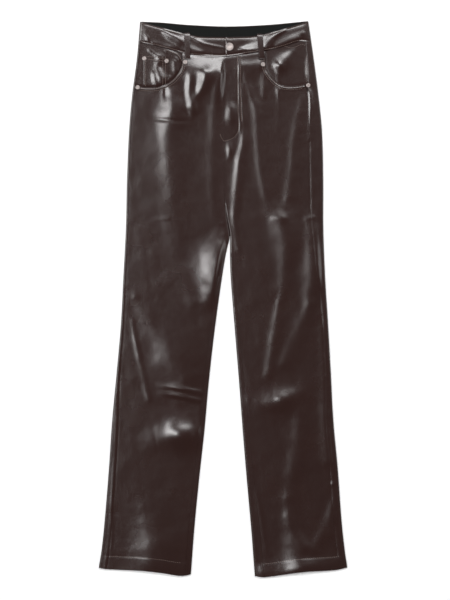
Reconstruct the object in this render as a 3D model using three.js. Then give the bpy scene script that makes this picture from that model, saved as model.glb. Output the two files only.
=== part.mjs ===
// Faux leather trousers, straight-legged and high-waisted, laid flat with the front up.
// Millimetres. +Z is up off the surface they lie on, +Y points to the waist and +X to the
// wearer's left, so the wearer's right leg is on -X. The back rests on z = 0.
import * as THREE from 'three';

// Driving dimensions
const CLOTH = 1.2; // wall of a panel
const BAND_WALL = 1.6; // wall of the waistband, two layers of cloth
const THIN_WALL = 0.8; // pocket facings, coin pocket, fly shield and zip tape
const SEAM_GAP = 0.3; // pieces stand this far apart at seams and where one lies on another
const FOLD_RADIUS = 2.4; // half the height of a leg at its folded edges
const BAND_HEIGHT = 37.6; // waistband, seam to top edge, at the back
const HEM_DEPTH = 28; // turned hem
const FLY_WIDTH = 33; // placket from the fly edge to its stitched J
const FLY_LENGTH = 164; // from the waistband's seam to the foot of the J
const BUTTON_RADIUS = 8;
const RIVET_RADIUS = 4.4;
const LOOP_WIDTH = 10.6;

// The outer sides of the two legs, from the waist's top edge down to the hems
const SIDES = [
  { y: 541.9, right: -161.7, left: 165.9 },
  { y: 466.4, right: -168.3, left: 176.9 },
  { y: 396.2, right: -177.6, left: 186.2 },
  { y: 326.0, right: -183.5, left: 193.1 },
  { y: 232.4, right: -187.4, left: 195.4 },
  { y: 138.8, right: -189.5, left: 195.6 },
  { y: 45.2, right: -194.4, left: 199.1 },
  { y: -48.4, right: -199.3, left: 204.9 },
  { y: -142.0, right: -207.5, left: 210.2 },
  { y: -235.6, right: -216.3, left: 215.1 },
  { y: -329.2, right: -222.7, left: 223.7 },
  { y: -422.8, right: -230.3, left: 230.5 },
  { y: -493.0, right: -237.1, left: 237.3 },
  { y: -524.2, right: -241.6, left: 241.4 },
];

// The inner edges: both beside the centre seam down to the crotch, then one on each leg
const CROTCH_Y = 122.3;
const INNERS = [
  { y: 541.9, right: 1.9, left: 2.3 },
  { y: 466.4, right: 1.9, left: 2.3 },
  { y: 308.5, right: 1.9, left: 2.3 },
  { y: 205.1, right: 2.8, left: 3.2 },
  { y: 164.2, right: 6.6, left: 7.0 },
  { y: 122.3, right: 12.8, left: 13.4 },
  { y: 103.7, right: 9.0, left: 13.4 },
  { y: 80.3, right: 4.1, left: 13.4 },
  { y: 45.2, right: -1.6, left: 14.6 },
  { y: -1.6, right: -8.4, left: 18.1 },
  { y: -71.8, right: -17.7, left: 23.8 },
  { y: -165.4, right: -28.1, left: 31.4 },
  { y: -259.0, right: -36.5, left: 38.4 },
  { y: -352.6, right: -46.8, left: 46.2 },
  { y: -446.2, right: -55.8, left: 54.6 },
  { y: -541.7, right: -63.4, left: 62.6 },
];

// How far the outseams lie in from the folded sides, on top
const OUTSEAMS = [
  { y: 541.9, right: 4.2, left: 9.8 },
  { y: 466.4, right: 4.2, left: 13.6 },
  { y: 404.0, right: 4.0, left: 19.5 },
  { y: 326.0, right: 4.0, left: 25.0 },
  { y: 185.6, right: 4.0, left: 25.0 },
  { y: 95.9, right: 4.8, left: 19.5 },
  { y: -21.1, right: 5.9, left: 11.8 },
  { y: -157.6, right: 7.8, left: 12.2 },
  { y: -255.1, right: 13.0, left: 15.6 },
  { y: -541.7, right: 15.6, left: 15.6 },
];

// Where the inseams run, measured along the cloth from the top of the inner fold: over 0 on
// top, under 0 down the fold. At the crotch they lie low, between the two legs.
const INSEAMS = [
  { y: 541.9, right: 0.0, left: 0.0 },
  { y: 205.1, right: 0.0, left: 0.0 },
  { y: 180.0, right: -1.2, left: -1.2 },
  { y: 150.0, right: -2.8, left: -2.8 },
  { y: 122.3, right: -4.4, left: -4.4 },
  { y: 110.0, right: -3.6, left: -3.6 },
  { y: 96.0, right: -1.5, left: -1.5 },
  { y: 84.0, right: 0.0, left: 0.0 },
  { y: 60.0, right: 3.0, left: 3.0 },
  { y: -1.6, right: 6.5, left: 6.5 },
  { y: -165.4, right: 7.5, left: 8.0 },
  { y: -352.6, right: 8.5, left: 12.0 },
  { y: -541.7, right: 9.5, left: 17.0 },
];

// The waistband's edges, front and back, across the body
const FRONT_TOP = [
  { x: -161.7, y: 540.5 },
  { x: -119.3, y: 529.2 },
  { x: -72.2, y: 516.9 },
  { x: -45.0, y: 511.9 },
  { x: 2.5, y: 510.7 },
  { x: 22.0, y: 510.7 },
  { x: 63.2, y: 513.2 },
  { x: 110.4, y: 524.4 },
  { x: 164.6, y: 540.5 },
];
const FRONT_SEAM = [
  { x: -162.0, y: 500.8 },
  { x: -131.8, y: 494.5 },
  { x: -94.6, y: 484.6 },
  { x: -64.5, y: 477.2 },
  { x: -32.4, y: 474.6 },
  { x: 2.5, y: 473.4 },
  { x: 38.4, y: 477.8 },
  { x: 83.1, y: 484.6 },
  { x: 119.1, y: 493.2 },
  { x: 148.0, y: 502.5 },
  { x: 167.5, y: 501.8 },
];
const CENTRE_SEAM_Y = 473.4; // the waistband's front seam at the fly edge
const BACK_TOP = [
  { x: -161.7, y: 541.1 },
  { x: -119.3, y: 539.2 },
  { x: -69.6, y: 534.9 },
  { x: 8.0, y: 531.8 },
  { x: 87.6, y: 534.9 },
  { x: 164.6, y: 542.0 },
];

// The front pocket mouths, from the waistband's seam down and out to the outseam
const MOUTHS = {
  right: [
    { x: -79.6, y: 456.5 },
    { x: -84.0, y: 445.0 },
    { x: -94.6, y: 431.1 },
    { x: -106.9, y: 421.2 },
    { x: -119.3, y: 416.1 },
    { x: -131.8, y: 412.8 },
    { x: -156.6, y: 413.2 },
    { x: -175.0, y: 416.0 },
  ],
  left: [
    { x: 81.7, y: 456.5 },
    { x: 85.6, y: 445.0 },
    { x: 94.4, y: 432.3 },
    { x: 106.7, y: 421.2 },
    { x: 119.1, y: 415.8 },
    { x: 137.9, y: 415.0 },
    { x: 161.5, y: 418.2 },
    { x: 176.0, y: 418.8 },
  ],
};
const MOUTH_STEP = 2.0; // the mouth is this much steeper than its table, beside the waistband

// The hems, across each leg
const HEMS = {
  right: [
    { x: -241.6, y: -523.8 },
    { x: -230.3, y: -526.1 },
    { x: -158.1, y: -529.6 },
    { x: -119.1, y: -533.9 },
    { x: -86.6, y: -539.2 },
    { x: -72.3, y: -538.6 },
    { x: -63.0, y: -535.9 },
  ],
  left: [
    { x: 62.2, y: -539.8 },
    { x: 78.8, y: -542.1 },
    { x: 153.9, y: -532.0 },
    { x: 218.2, y: -528.1 },
    { x: 241.2, y: -523.4 },
  ],
};
const HEM_LEVEL = -532; // the row that becomes the hem
const HEM_EASE = 90; // rows this far above the hem still run straight across

// The largest folds: the ends of each crest, how far it spreads to each side, and its height
const FOLDS = [
  { name: 'below the waistband', x0: -10, y0: 449, x1: -58, y1: 449, spread: 15, height: 2.2 },
  { name: 'hip', x0: -70, y0: 478, x1: -64, y1: 361, spread: 9, height: 1.5 },
  { name: 'hip, middle arm', x0: -33, y0: 474, x1: -63, y1: 361, spread: 8, height: 1.1 },
  { name: 'below the coin pocket', x0: -113, y0: 404, x1: -119, y1: 291, spread: 13, height: 2.0 },
  { name: 'right thigh', x0: -119, y0: 291, x1: -117, y1: 162, spread: 12, height: 1.2 },
  { name: 'inner thigh', x0: -22, y0: 398, x1: -24, y1: 139, spread: 9, height: 1.2 },
  { name: 'inner thigh, low', x0: -27, y0: 119, x1: -43, y1: -2, spread: 10, height: 1.8 },
  { name: 'thigh slant', x0: -104, y0: 74, x1: -65, y1: -7, spread: 10, height: 1.1 },
  { name: 'outer knee', x0: -178, y0: -41, x1: -144, y1: -200, spread: 9, height: 1.5 },
  { name: 'knee band', x0: -162, y0: -15, x1: -127, y1: -99, spread: 13, height: 1.5 },
  { name: 'knee band, low', x0: -127, y0: -99, x1: -111, y1: -173, spread: 13, height: 1.4 },
  { name: 'knee crease', x0: -107, y0: -172, x1: -47, y1: -176, spread: 7, height: -1.1 },
  { name: 'calf', x0: -107, y0: -257, x1: -66, y1: -243, spread: 13, height: 1.3 },
  { name: 'right hem', x0: -160, y0: -407, x1: -156, y1: -505, spread: 18, height: 1.5 },
  { name: 'beside the fly', x0: 38, y0: 410, x1: 36, y1: 303, spread: 8, height: 1.3 },
  { name: 'below the fly', x0: 36, y0: 303, x1: 23, y1: 193, spread: 8, height: 1.9 },
  { name: 'crotch', x0: 23, y0: 193, x1: 27, y1: 113, spread: 8, height: 1.5 },
  { name: 'U, inner arm', x0: 48, y0: 404, x1: 68, y1: 260, spread: 9, height: 0.9 },
  { name: 'U, inner foot', x0: 68, y0: 260, x1: 91, y1: 170, spread: 9, height: 1.0 },
  { name: 'U, outer arm', x0: 150, y0: 383, x1: 132, y1: 271, spread: 9, height: 1.0 },
  { name: 'U, outer foot', x0: 132, y0: 271, x1: 121, y1: 170, spread: 9, height: 1.0 },
  { name: 'left thigh', x0: 109, y0: 160, x1: 105, y1: 2, spread: 13, height: 1.1 },
  { name: 'long knee', x0: 106, y0: -8, x1: 81, y1: -138, spread: 9, height: 1.7 },
  { name: 'short knee', x0: 163, y0: -5, x1: 110, y1: -117, spread: 9, height: 1.7 },
  { name: 'below the knee', x0: 117, y0: -163, x1: 111, y1: -208, spread: 17, height: 1.4 },
  { name: 'shin', x0: 146, y0: -236, x1: 129, y1: -370, spread: 10, height: 1.5 },
  { name: 'left hem', x0: 125, y0: -454, x1: 125, y1: -533, spread: 17, height: 1.6 },
];

// Rows of a leg, from just under the pocket mouths to the hem
const FIRST_ROW = 402;
const LEG_ROWS = [
  FIRST_ROW, 380, 352, 324, 296, 268, 242, 218, 198, 180, 160, 142, 124, 119, 111, 102, 92, 80,
  64, 42, 14, -16, -48, -80, -112, -144, -172, -200, -236, -278, -322, -368, -414, -456, -488,
  -510, HEM_LEVEL,
];
const TOP_STEPS = 4; // rows between the waistband's seam and the first row

const CROWN = 1.2; // how much higher a leg is along its middle than at its folded sides
const CROWN_AT_WAIST = 0.5;
const CROWN_REACH = 60;
const FOLD_FADE = 14; // folds die out this close to a folded side
const HEM_RELIEF = 0.5; // the turned cloth's extra height
const LIP_RELIEF = 0.6; // the pocket mouth's rolled edge
const LIP_REACH = 6;
const PLACKET_RELIEF = 0.6;
const BAND_RELIEF = 0.4; // the waistband's height over the panels below it

const LEATHER = { color: '#3a2d2c', roughness: 0.3, metalness: 0 };
const FACING = { color: '#1e2321', roughness: 0.6, metalness: 0 };
const TAPE = { color: '#2c2423', roughness: 0.8, metalness: 0 };
const SILVER = { color: '#cdc4c0', roughness: 0.35, metalness: 1 };

const OUTWARDS = { right: -1, left: 1 }; // the way along X from the centre to each side

const clamp = (value, low, high) => Math.min(high, Math.max(low, value));
const mix = (a, b, t) => a + (b - a) * t;
const ease = (t) => clamp(t, 0, 1) ** 2 * (3 - 2 * clamp(t, 0, 1));
const count = (n, make) => Array.from({ length: n }, (_, i) => make(i));

// A smooth curve through one column of a table, level or straight beyond its ends.
function read(table, key, column, at) {
  const rows = table[0][key] < table.at(-1)[key] ? table : [...table].reverse();
  const last = rows.length - 1;
  let i = 0;
  while (i < last - 1 && at > rows[i + 1][key]) {
    i += 1;
  }
  const slope = (k) => {
    const low = rows[Math.max(k - 1, 0)];
    const high = rows[Math.min(k + 1, last)];
    return (high[column] - low[column]) / (high[key] - low[key]);
  };
  const [from, to] = [rows[i], rows[i + 1]];
  const span = to[key] - from[key];
  const t = (at - from[key]) / span;
  if (t < 0 || t > 1) {
    const [end, k] = t < 0 ? [from, i] : [to, i + 1];
    return end[column] + slope(k) * (at - end[key]);
  }
  const bend = t * t * (3 - 2 * t);
  const leave = t * (1 - t) ** 2 * span * slope(i);
  const arrive = t * t * (t - 1) * span * slope(i + 1);
  return mix(from[column], to[column], bend) + leave + arrive;
}

const outerEdge = (side, y) => read(SIDES, 'y', side, y);
const innerEdge = (side, y) => read(INNERS, 'y', side, Math.max(y, INNERS.at(-1).y - 2));
const outseamX = (side, y) => outerEdge(side, y) - OUTWARDS[side] * read(OUTSEAMS, 'y', side, y);
const sideAt = (x, y) => (x < (innerEdge('right', y) + innerEdge('left', y)) / 2 ? 'right' : 'left');

// Turns a row's height in the leg into the true y, so that the last row follows the hem.
function hemmed(side, x, y) {
  const drop = read(HEMS[side], 'x', 'y', x) - HEM_LEVEL;
  return y + drop * ease((HEM_LEVEL + HEM_EASE - y) / HEM_EASE);
}

// The edge of the cloth that the front panel begins at: the waistband's seam, or the mouth.
function frontTopLine(side, x) {
  const mouth = MOUTHS[side];
  const beside = (mouth[0].x - x) * OUTWARDS[side];
  return beside > 0 ? read(FRONT_SEAM, 'x', 'y', x) - SEAM_GAP : read(mouth, 'x', 'y', x);
}

function foldHeight(x, y) {
  let height = 0;
  for (const fold of FOLDS) {
    const [dx, dy] = [fold.x1 - fold.x0, fold.y1 - fold.y0];
    const length = Math.hypot(dx, dy);
    const t = ((x - fold.x0) * dx + (y - fold.y0) * dy) / length ** 2;
    const beyond = Math.max(0, -t, t - 1) * length;
    const across = ((x - fold.x0) * dy - (y - fold.y0) * dx) / length;
    const away = (across / fold.spread) ** 2 + (beyond / (1.6 * fold.spread)) ** 2;
    height += fold.height * Math.exp(-away);
  }
  return height;
}

// How close to a folded edge a point is: 0 at the edge, 1 from `reach` inwards. Above the crotch
// the two legs run into one another, so only the outer side counts there.
function clearOfEdges(x, y, reach) {
  const side = sideAt(x, y);
  const fromSide = Math.abs(outerEdge(side, y) - x);
  const fromInner = Math.abs(innerEdge(side, y) - x);
  const apart = ease((300 - y) / (300 - CROTCH_Y));
  return ease(fromSide / reach) * mix(1, ease(fromInner / reach), apart);
}

// Height of the front cloth over what they lie on, without its folds.
function smoothSurface(x, y) {
  const crown = mix(CROWN, CROWN_AT_WAIST, ease((y - 420) / 50));
  return 2 * FOLD_RADIUS + crown * clearOfEdges(x, y, CROWN_REACH);
}

// The same with the folds and the hem's relief.
function surface(x, y) {
  const hemTop = read(HEMS[sideAt(x, y)], 'x', 'y', x) + HEM_DEPTH;
  const relief = HEM_RELIEF * ease((hemTop - y) / 6);
  return smoothSurface(x, y) + (foldHeight(x, y) + relief) * clearOfEdges(x, y, FOLD_FADE);
}

// The front panels alone also carry the rolled pocket mouths and the doubled placket.
function panelSurface(x, y) {
  const side = sideAt(x, y);
  const below = frontTopLine(side, x) - y;
  const mouthed = (x - MOUTHS[side][0].x) * OUTWARDS[side] > 0;
  const lip = mouthed ? LIP_RELIEF * Math.exp(-((below / LIP_REACH) ** 2)) : 0;
  const fromFly = x - innerEdge('left', y);
  const inPlacket = side === 'left' && y > CENTRE_SEAM_Y - FLY_LENGTH;
  const placket = inPlacket ? PLACKET_RELIEF * ease((FLY_WIDTH + 3 - fromFly) / 6) : 0;
  return surface(x, y) + lip + placket;
}

// One row of a leg, as a flattened tube. `across` is measured from the inner edge outwards.
function legRow(side, y, heightAt) {
  const out = OUTWARDS[side];
  const inner = innerEdge(side, y);
  const width = Math.abs(outerEdge(side, y) - inner);
  const open = y > CROTCH_Y; // above the crotch the two legs are one tube
  const seam = Math.min(read(INSEAMS, 'y', side, y), open ? 0 : Infinity);
  const turned = Math.min(-seam / FOLD_RADIUS, Math.PI / 2);
  const foldIn = open ? FOLD_RADIUS * Math.sin(Math.max(turned, 0)) : FOLD_RADIUS;
  const place = (across, z) => [inner + out * across, z];
  const top = (across) => {
    const x = inner + out * across;
    return [x, heightAt(x, hemmed(side, x, y))];
  };
  // The inner fold and what lies beside it: p is the way along the cloth from the fold's top.
  const innerFold = (p) => {
    if (p >= 0) {
      return top(foldIn + p);
    }
    const angle = -p / FOLD_RADIUS;
    const half = top(foldIn)[1] / 2;
    return place(foldIn - FOLD_RADIUS * Math.sin(angle), half * (1 + Math.cos(angle)));
  };
  const outerFold = (p) => {
    if (p >= 0) {
      return top(width - FOLD_RADIUS - p);
    }
    const angle = -p / FOLD_RADIUS;
    const half = top(width - FOLD_RADIUS)[1] / 2;
    return place(width - FOLD_RADIUS + FOLD_RADIUS * Math.sin(angle), half * (1 + Math.cos(angle)));
  };
  const outseam = read(OUTSEAMS, 'y', side, y);
  return { place, top, innerFold, outerFold, foldIn, width, seam, outseam, open };
}

// Moves a point of a path inwards by the wall, square to the path.
function inwards(path, at, wall) {
  const step = 0.05;
  const [a, b] = [path(at - step), path(at + step)];
  const length = Math.hypot(b[0] - a[0], b[1] - a[1]);
  const [x, z] = path(at);
  return [x + ((b[1] - a[1]) / length) * wall, z - ((b[0] - a[0]) / length) * wall];
}

// The front panel's stations on a row, from the inseam or centre seam out to the outseam.
const ZONE = 16; // the first stretch, beside the inner edge, has closer stations
const ZONE_STEPS = 4;
const FRONT_STEPS = 12;
function frontStation(side, row, i) {
  const from = row.seam + (row.seam === 0 ? 0 : SEAM_GAP / 2);
  if (i <= ZONE_STEPS) {
    const weight = (p) => (p < 0 ? 3 * p : p);
    const w = mix(weight(from), weight(Math.max(from, 0) + ZONE), i / ZONE_STEPS);
    const p = w < 0 ? w / 3 : w;
    return { path: (t) => row.innerFold(t), at: p, turn: -OUTWARDS[side] };
  }
  const start = row.foldIn + Math.max(from, 0) + ZONE;
  const end = row.width - row.outseam - SEAM_GAP / 2;
  const across = mix(start, end, (i - ZONE_STEPS) / FRONT_STEPS);
  return { path: (t) => row.top(t), at: across, turn: -OUTWARDS[side] };
}

function shellPoint(station, wall) {
  const outer = station.path(station.at);
  const inner = inwards(station.path, station.at, station.turn * -wall);
  return [outer, inner];
}

// The front panel's top edge: its columns follow the waistband's seam up to MOUTH_COLUMN, and the
// rest follow the pocket mouth, closer together where it curves.
const MOUTH_COLUMN = ZONE_STEPS + 4;
const MOUTH_BUNCHING = 1.4;
function topEdgeX(side, i) {
  const out = OUTWARDS[side];
  const inner = innerEdge(side, CENTRE_SEAM_Y);
  const corner = Math.abs(MOUTHS[side][0].x - inner) - MOUTH_STEP / 2;
  const end = Math.abs(outseamX(side, MOUTHS[side].at(-1).y) - inner) - SEAM_GAP / 2;
  let across;
  if (i <= ZONE_STEPS) {
    across = (ZONE * i) / ZONE_STEPS;
  } else if (i <= MOUTH_COLUMN) {
    across = mix(ZONE, corner, (i - ZONE_STEPS) / (MOUTH_COLUMN - ZONE_STEPS));
  } else {
    const steps = ZONE_STEPS + FRONT_STEPS - MOUTH_COLUMN - 1;
    across = mix(corner + MOUTH_STEP, end, ((i - MOUTH_COLUMN - 1) / steps) ** MOUTH_BUNCHING);
  }
  return inner + out * across;
}

function frontPanel(side) {
  const columns = ZONE_STEPS + FRONT_STEPS + 1;
  const outer = [];
  const inner = [];
  for (let k = 0; k < TOP_STEPS; k += 1) {
    const row = count(columns, (i) => {
      const topX = topEdgeX(side, i);
      const legX = frontPoint(side, FIRST_ROW, i)[0][0];
      const x = mix(topX, legX, k / TOP_STEPS);
      const y = mix(frontTopLine(side, topX), FIRST_ROW, k / TOP_STEPS);
      return [x, y, panelSurface(x, y)];
    });
    outer.push(row);
    inner.push(row.map(([x, y, z]) => [x, y, z - CLOTH]));
  }
  for (const y of LEG_ROWS) {
    const points = count(columns, (i) => frontPoint(side, y, i));
    outer.push(points.map(([[x, z]]) => [x, hemmed(side, x, y), z]));
    inner.push(points.map(([[x], [xi, zi]]) => [xi, hemmed(side, x, y), zi]));
  }
  return closedWall(outer, inner);
}

function frontPoint(side, y, i) {
  return shellPoint(frontStation(side, legRow(side, y, panelSurface), i), CLOTH);
}

// The back panel's stations: inseam, inner fold, flat underside, outer fold, outseam.
const TURN_STEPS = 5;
const FLAT_STEPS = 4;
function backStation(side, row, i) {
  const out = OUTWARDS[side];
  const weight = (p) => (p > 0 ? p / 4 : p);
  const unweight = (w) => (w > 0 ? w * 4 : w);
  const foot = -Math.PI * FOLD_RADIUS;
  const flat = (t) => row.place(t, 0);
  if (row.open) {
    const innerSteps = TURN_STEPS + FLAT_STEPS;
    if (i < innerSteps) {
      return { path: flat, at: mix(0, row.width - FOLD_RADIUS, i / innerSteps), turn: out };
    }
  } else if (i < TURN_STEPS) {
    const w = mix(weight(row.seam - SEAM_GAP), foot, i / TURN_STEPS);
    return { path: row.innerFold, at: unweight(w), turn: -out };
  } else if (i < TURN_STEPS + FLAT_STEPS) {
    const t = (i - TURN_STEPS) / FLAT_STEPS;
    return { path: flat, at: mix(FOLD_RADIUS, row.width - FOLD_RADIUS, t), turn: out };
  }
  const to = row.outseam - FOLD_RADIUS - SEAM_GAP / 2;
  const w = mix(foot, weight(to), (i - TURN_STEPS - FLAT_STEPS) / TURN_STEPS);
  return { path: row.outerFold, at: unweight(w), turn: out };
}

function backPanel(side) {
  const columns = 2 * TURN_STEPS + FLAT_STEPS + 1;
  const outer = [];
  const inner = [];
  const addRow = (y, trueY) => {
    const row = legRow(side, y, surface);
    const points = count(columns, (i) => shellPoint(backStation(side, row, i), CLOTH));
    outer.push(points.map(([[x, z]]) => [x, trueY(x, z), z]));
    inner.push(points.map(([[x, z], [xi, zi]]) => [xi, trueY(x, z), zi]));
  };
  for (let k = 0; k < TOP_STEPS; k += 1) {
    const seamY = FRONT_SEAM[0].y;
    addRow(mix(seamY, FIRST_ROW, k / TOP_STEPS), (x, z) => {
      const front = read(FRONT_SEAM, 'x', 'y', x);
      const back = read(BACK_TOP, 'x', 'y', x) - BAND_HEIGHT;
      const top = mix(back, front, ease(z / (2 * FOLD_RADIUS))) - SEAM_GAP;
      return mix(top, FIRST_ROW, k / TOP_STEPS);
    });
  }
  for (const y of LEG_ROWS) {
    addRow(y, (x) => hemmed(side, x, y));
  }
  return closedWall(outer, inner);
}

// The waistband: from the centre back along the underside, round the side, over the front.
const BAND_FOLD = 2.6;
const BAND_ROWS = 4;
const BAND_BACK_STEPS = 7;
const BAND_FOLD_STEPS = 5;
const BAND_FRONT_STEPS = 14;
const FLY_EDGE = 2.6; // the overlapping end
const UNDERLAP_END = 28.9;
const OVERLAP_LIFT = BAND_WALL + SEAM_GAP;
function bandSurface(side, x) {
  const fromSide = Math.abs(outerEdge(side, FRONT_SEAM[0].y) - x);
  const lift = side === 'left' ? OVERLAP_LIFT * ease((62 - x) / 26) : 0;
  return 2 * BAND_FOLD + BAND_RELIEF * ease(fromSide / 40) + lift;
}

function bandPath(side, y) {
  const out = OUTWARDS[side];
  const edge = outerEdge(side, y);
  const centre = innerEdge(side, y) + (out * SEAM_GAP) / 4;
  const end = side === 'left' ? FLY_EDGE : UNDERLAP_END;
  const back = Math.abs(edge - centre) - BAND_FOLD;
  const bend = Math.PI * BAND_FOLD;
  const front = Math.abs(edge - end) - BAND_FOLD;
  return {
    lengths: [back, bend, front],
    at: (s) => {
      if (s < back) {
        return [centre + out * s, 0];
      }
      if (s < back + bend) {
        const angle = (s - back) / BAND_FOLD;
        const half = bandSurface(side, edge) / 2;
        return [edge - out * BAND_FOLD * (1 - Math.sin(angle)), half * (1 - Math.cos(angle))];
      }
      const x = edge - out * (BAND_FOLD + s - back - bend);
      return [x, bandSurface(side, x)];
    },
  };
}

function bandStation([back, bend, front], i) {
  if (i <= BAND_BACK_STEPS) {
    return (back * i) / BAND_BACK_STEPS;
  }
  if (i <= BAND_BACK_STEPS + BAND_FOLD_STEPS) {
    return back + (bend * (i - BAND_BACK_STEPS)) / BAND_FOLD_STEPS;
  }
  return back + bend + (front * (i - BAND_BACK_STEPS - BAND_FOLD_STEPS)) / BAND_FRONT_STEPS;
}

function waistband(side) {
  const columns = BAND_BACK_STEPS + BAND_FOLD_STEPS + BAND_FRONT_STEPS + 1;
  const out = OUTWARDS[side];
  const outer = [];
  const inner = [];
  for (let k = 0; k <= BAND_ROWS; k += 1) {
    const v = k / BAND_ROWS;
    const level = mix(FRONT_SEAM[0].y, FRONT_TOP[0].y, v);
    const path = bandPath(side, level);
    const outerRow = [];
    const innerRow = [];
    for (let i = 0; i < columns; i += 1) {
      const s = bandStation(path.lengths, i);
      const [x, z] = path.at(s);
      const [xi, zi] = inwards(path.at, s, -out * BAND_WALL);
      const front = ease(z / (2 * BAND_FOLD));
      const top = mix(read(BACK_TOP, 'x', 'y', x), read(FRONT_TOP, 'x', 'y', x), front);
      const backSeam = read(BACK_TOP, 'x', 'y', x) - BAND_HEIGHT;
      const seam = mix(backSeam, read(FRONT_SEAM, 'x', 'y', x), front);
      const y = mix(seam, top, v);
      outerRow.push([x, y, z]);
      innerRow.push([xi, y, zi]);
    }
    outer.push(outerRow);
    inner.push(innerRow);
  }
  return closedWall(outer, inner);
}

// A patch that lies on a height, between two curves across the body.
function patch({ columns, rows, place, lift, wall, heightAt = surface }) {
  const outer = count(rows + 1, (j) => count(columns + 1, (i) => {
    const [x, y] = place(i / columns, j / rows);
    return [x, y, heightAt(x, y) + lift];
  }));
  const inner = outer.map((row) => row.map(([x, y, z]) => [x, y, z - wall]));
  return closedWall(outer, inner);
}

// The black facing inside the back of the waistband, which shows above the dipped front.
function waistbandFacing() {
  const inset = 2 * BAND_FOLD + 1;
  const level = BACK_TOP[0].y;
  return patch({
    columns: 14,
    rows: 3,
    wall: THIN_WALL,
    lift: THIN_WALL,
    heightAt: () => BAND_WALL + SEAM_GAP,
    place: (u, v) => {
      const x = mix(outerEdge('right', level) + inset, outerEdge('left', level) - inset, u);
      return [x, read(BACK_TOP, 'x', 'y', x) - mix(1.5, BAND_HEIGHT - 1, v)];
    },
  });
}

// The cloth behind a pocket mouth, sewn to the waistband and the outseam.
const FACING_DEPTH = CLOTH + SEAM_GAP;
const FACING_UNDER = 8; // how far it runs on under the mouth
const FACING_TUCK = 1.0; // and under the back panel's edge
function pocketFacing(side) {
  const out = OUTWARDS[side];
  const innerX = MOUTHS[side][0].x - out * FACING_UNDER;
  return patch({
    columns: 7,
    rows: 6,
    wall: THIN_WALL,
    lift: -FACING_DEPTH,
    heightAt: smoothSurface,
    place: (u, v) => {
      const sideY = mix(FRONT_SEAM.at(side === 'left' ? -1 : 0).y, MOUTHS[side].at(-1).y, v);
      const x = mix(innerX, outseamX(side, sideY) + out * FACING_TUCK, u);
      const mouthX = Math.abs(x) < Math.abs(MOUTHS[side][0].x) ? MOUTHS[side][0].x : x;
      const low = read(MOUTHS[side], 'x', 'y', mouthX) - FACING_UNDER;
      return [x, mix(read(FRONT_SEAM, 'x', 'y', x) - SEAM_GAP, low, v)];
    },
  });
}

// The coin pocket, on the wearer's right facing; the mouth hides its foot.
const COIN = { outer: -157.6, inner: -106.6, topOuter: 476.5, topInner: 470.8, clear: 1.6 };
function coinPocket() {
  return patch({
    columns: 5,
    rows: 5,
    wall: THIN_WALL,
    lift: SEAM_GAP + THIN_WALL - FACING_DEPTH,
    heightAt: smoothSurface,
    place: (u, v) => {
      const x = mix(COIN.inner, COIN.outer, u);
      const foot = read(MOUTHS.right, 'x', 'y', x) + COIN.clear;
      return [x, mix(mix(COIN.topInner, COIN.topOuter, u), foot, v)];
    },
  });
}

// The zip tape and the shield behind it lie hidden under the placket.
function flyStrip(outerX, innerX, lift) {
  return patch({
    columns: 2,
    rows: 6,
    wall: THIN_WALL,
    lift,
    heightAt: smoothSurface,
    place: (u, v) => {
      const top = read(FRONT_SEAM, 'x', 'y', mix(outerX, innerX, u)) - 1;
      return [mix(outerX, innerX, u), top - v * (FLY_LENGTH - 14)];
    },
  });
}

// A belt loop lies over the waistband, from its top edge to just under its seam.
function beltLoop(side, { topX, topY, footX, footY }) {
  const wall = 1.4;
  const bulge = 0.7;
  const half = LOOP_WIDTH / 2;
  const ground = (x, y) => {
    const seam = read(FRONT_SEAM, 'x', 'y', x);
    const onBand = ease((y - seam + 3) / 3);
    return mix(panelSurface(x, Math.min(y, seam - SEAM_GAP)), bandSurface(side, x), onBand);
  };
  return patch({
    columns: 2,
    rows: 9,
    wall,
    lift: SEAM_GAP + wall,
    heightAt: (x, y) => {
      const t = (y - footY) / (topY - footY);
      return ground(x, y) + bulge * Math.sin(Math.PI * clamp(t, 0, 1));
    },
    place: (u, v) => [mix(topX, footX, v) + mix(-half, half, u), mix(topY, footY, v)],
  });
}

// A turned piece of metal, square to the cloth, seated just over the highest point under it.
function turned(profile, segments, x, y, height) {
  const geometry = new THREE.LatheGeometry(profile.map(([r, z]) => new THREE.Vector2(r, z)), segments);
  const reach = profile[1][0];
  const slopeX = (height(x + reach, y) - height(x - reach, y)) / (2 * reach);
  const slopeY = (height(x, y + reach) - height(x, y - reach)) / (2 * reach);
  const normal = new THREE.Vector3(-slopeX, -slopeY, 1).normalize();
  const turn = new THREE.Quaternion().setFromUnitVectors(new THREE.Vector3(0, 1, 0), normal);
  const over = Math.max(...count(segments, (i) => {
    const angle = (2 * Math.PI * i) / segments;
    const [dx, dy] = [reach * Math.cos(angle), reach * Math.sin(angle)];
    return height(x + dx, y + dy) - slopeX * dx - slopeY * dy;
  }), height(x, y));
  geometry.applyQuaternion(turn);
  geometry.translate(x, y, over + SEAM_GAP);
  return geometry;
}

// Cap of a rivet: a domed rim with a small nub in a dish.
function rivet(x, y, height) {
  const r = RIVET_RADIUS;
  const profile = [
    [0, 0], [r, 0], [r, 0.5], [0.88 * r, 1.05], [0.62 * r, 1.3], [0.42 * r, 1.05],
    [0.3 * r, 1.5], [0, 1.75],
  ];
  return turned(profile, 12, x, y, height);
}

// Jeans button: a rolled rim round a shallow dish.
function jeansButton(x, y, height) {
  const r = BUTTON_RADIUS;
  const profile = [
    [0, 0], [0.8 * r, 0], [r, 0.7], [r, 1.5], [0.93 * r, 2.1], [0.8 * r, 2.2],
    [0.68 * r, 1.8], [0.3 * r, 1.6], [0, 1.6],
  ];
  return turned(profile, 24, x, y, height);
}

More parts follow.
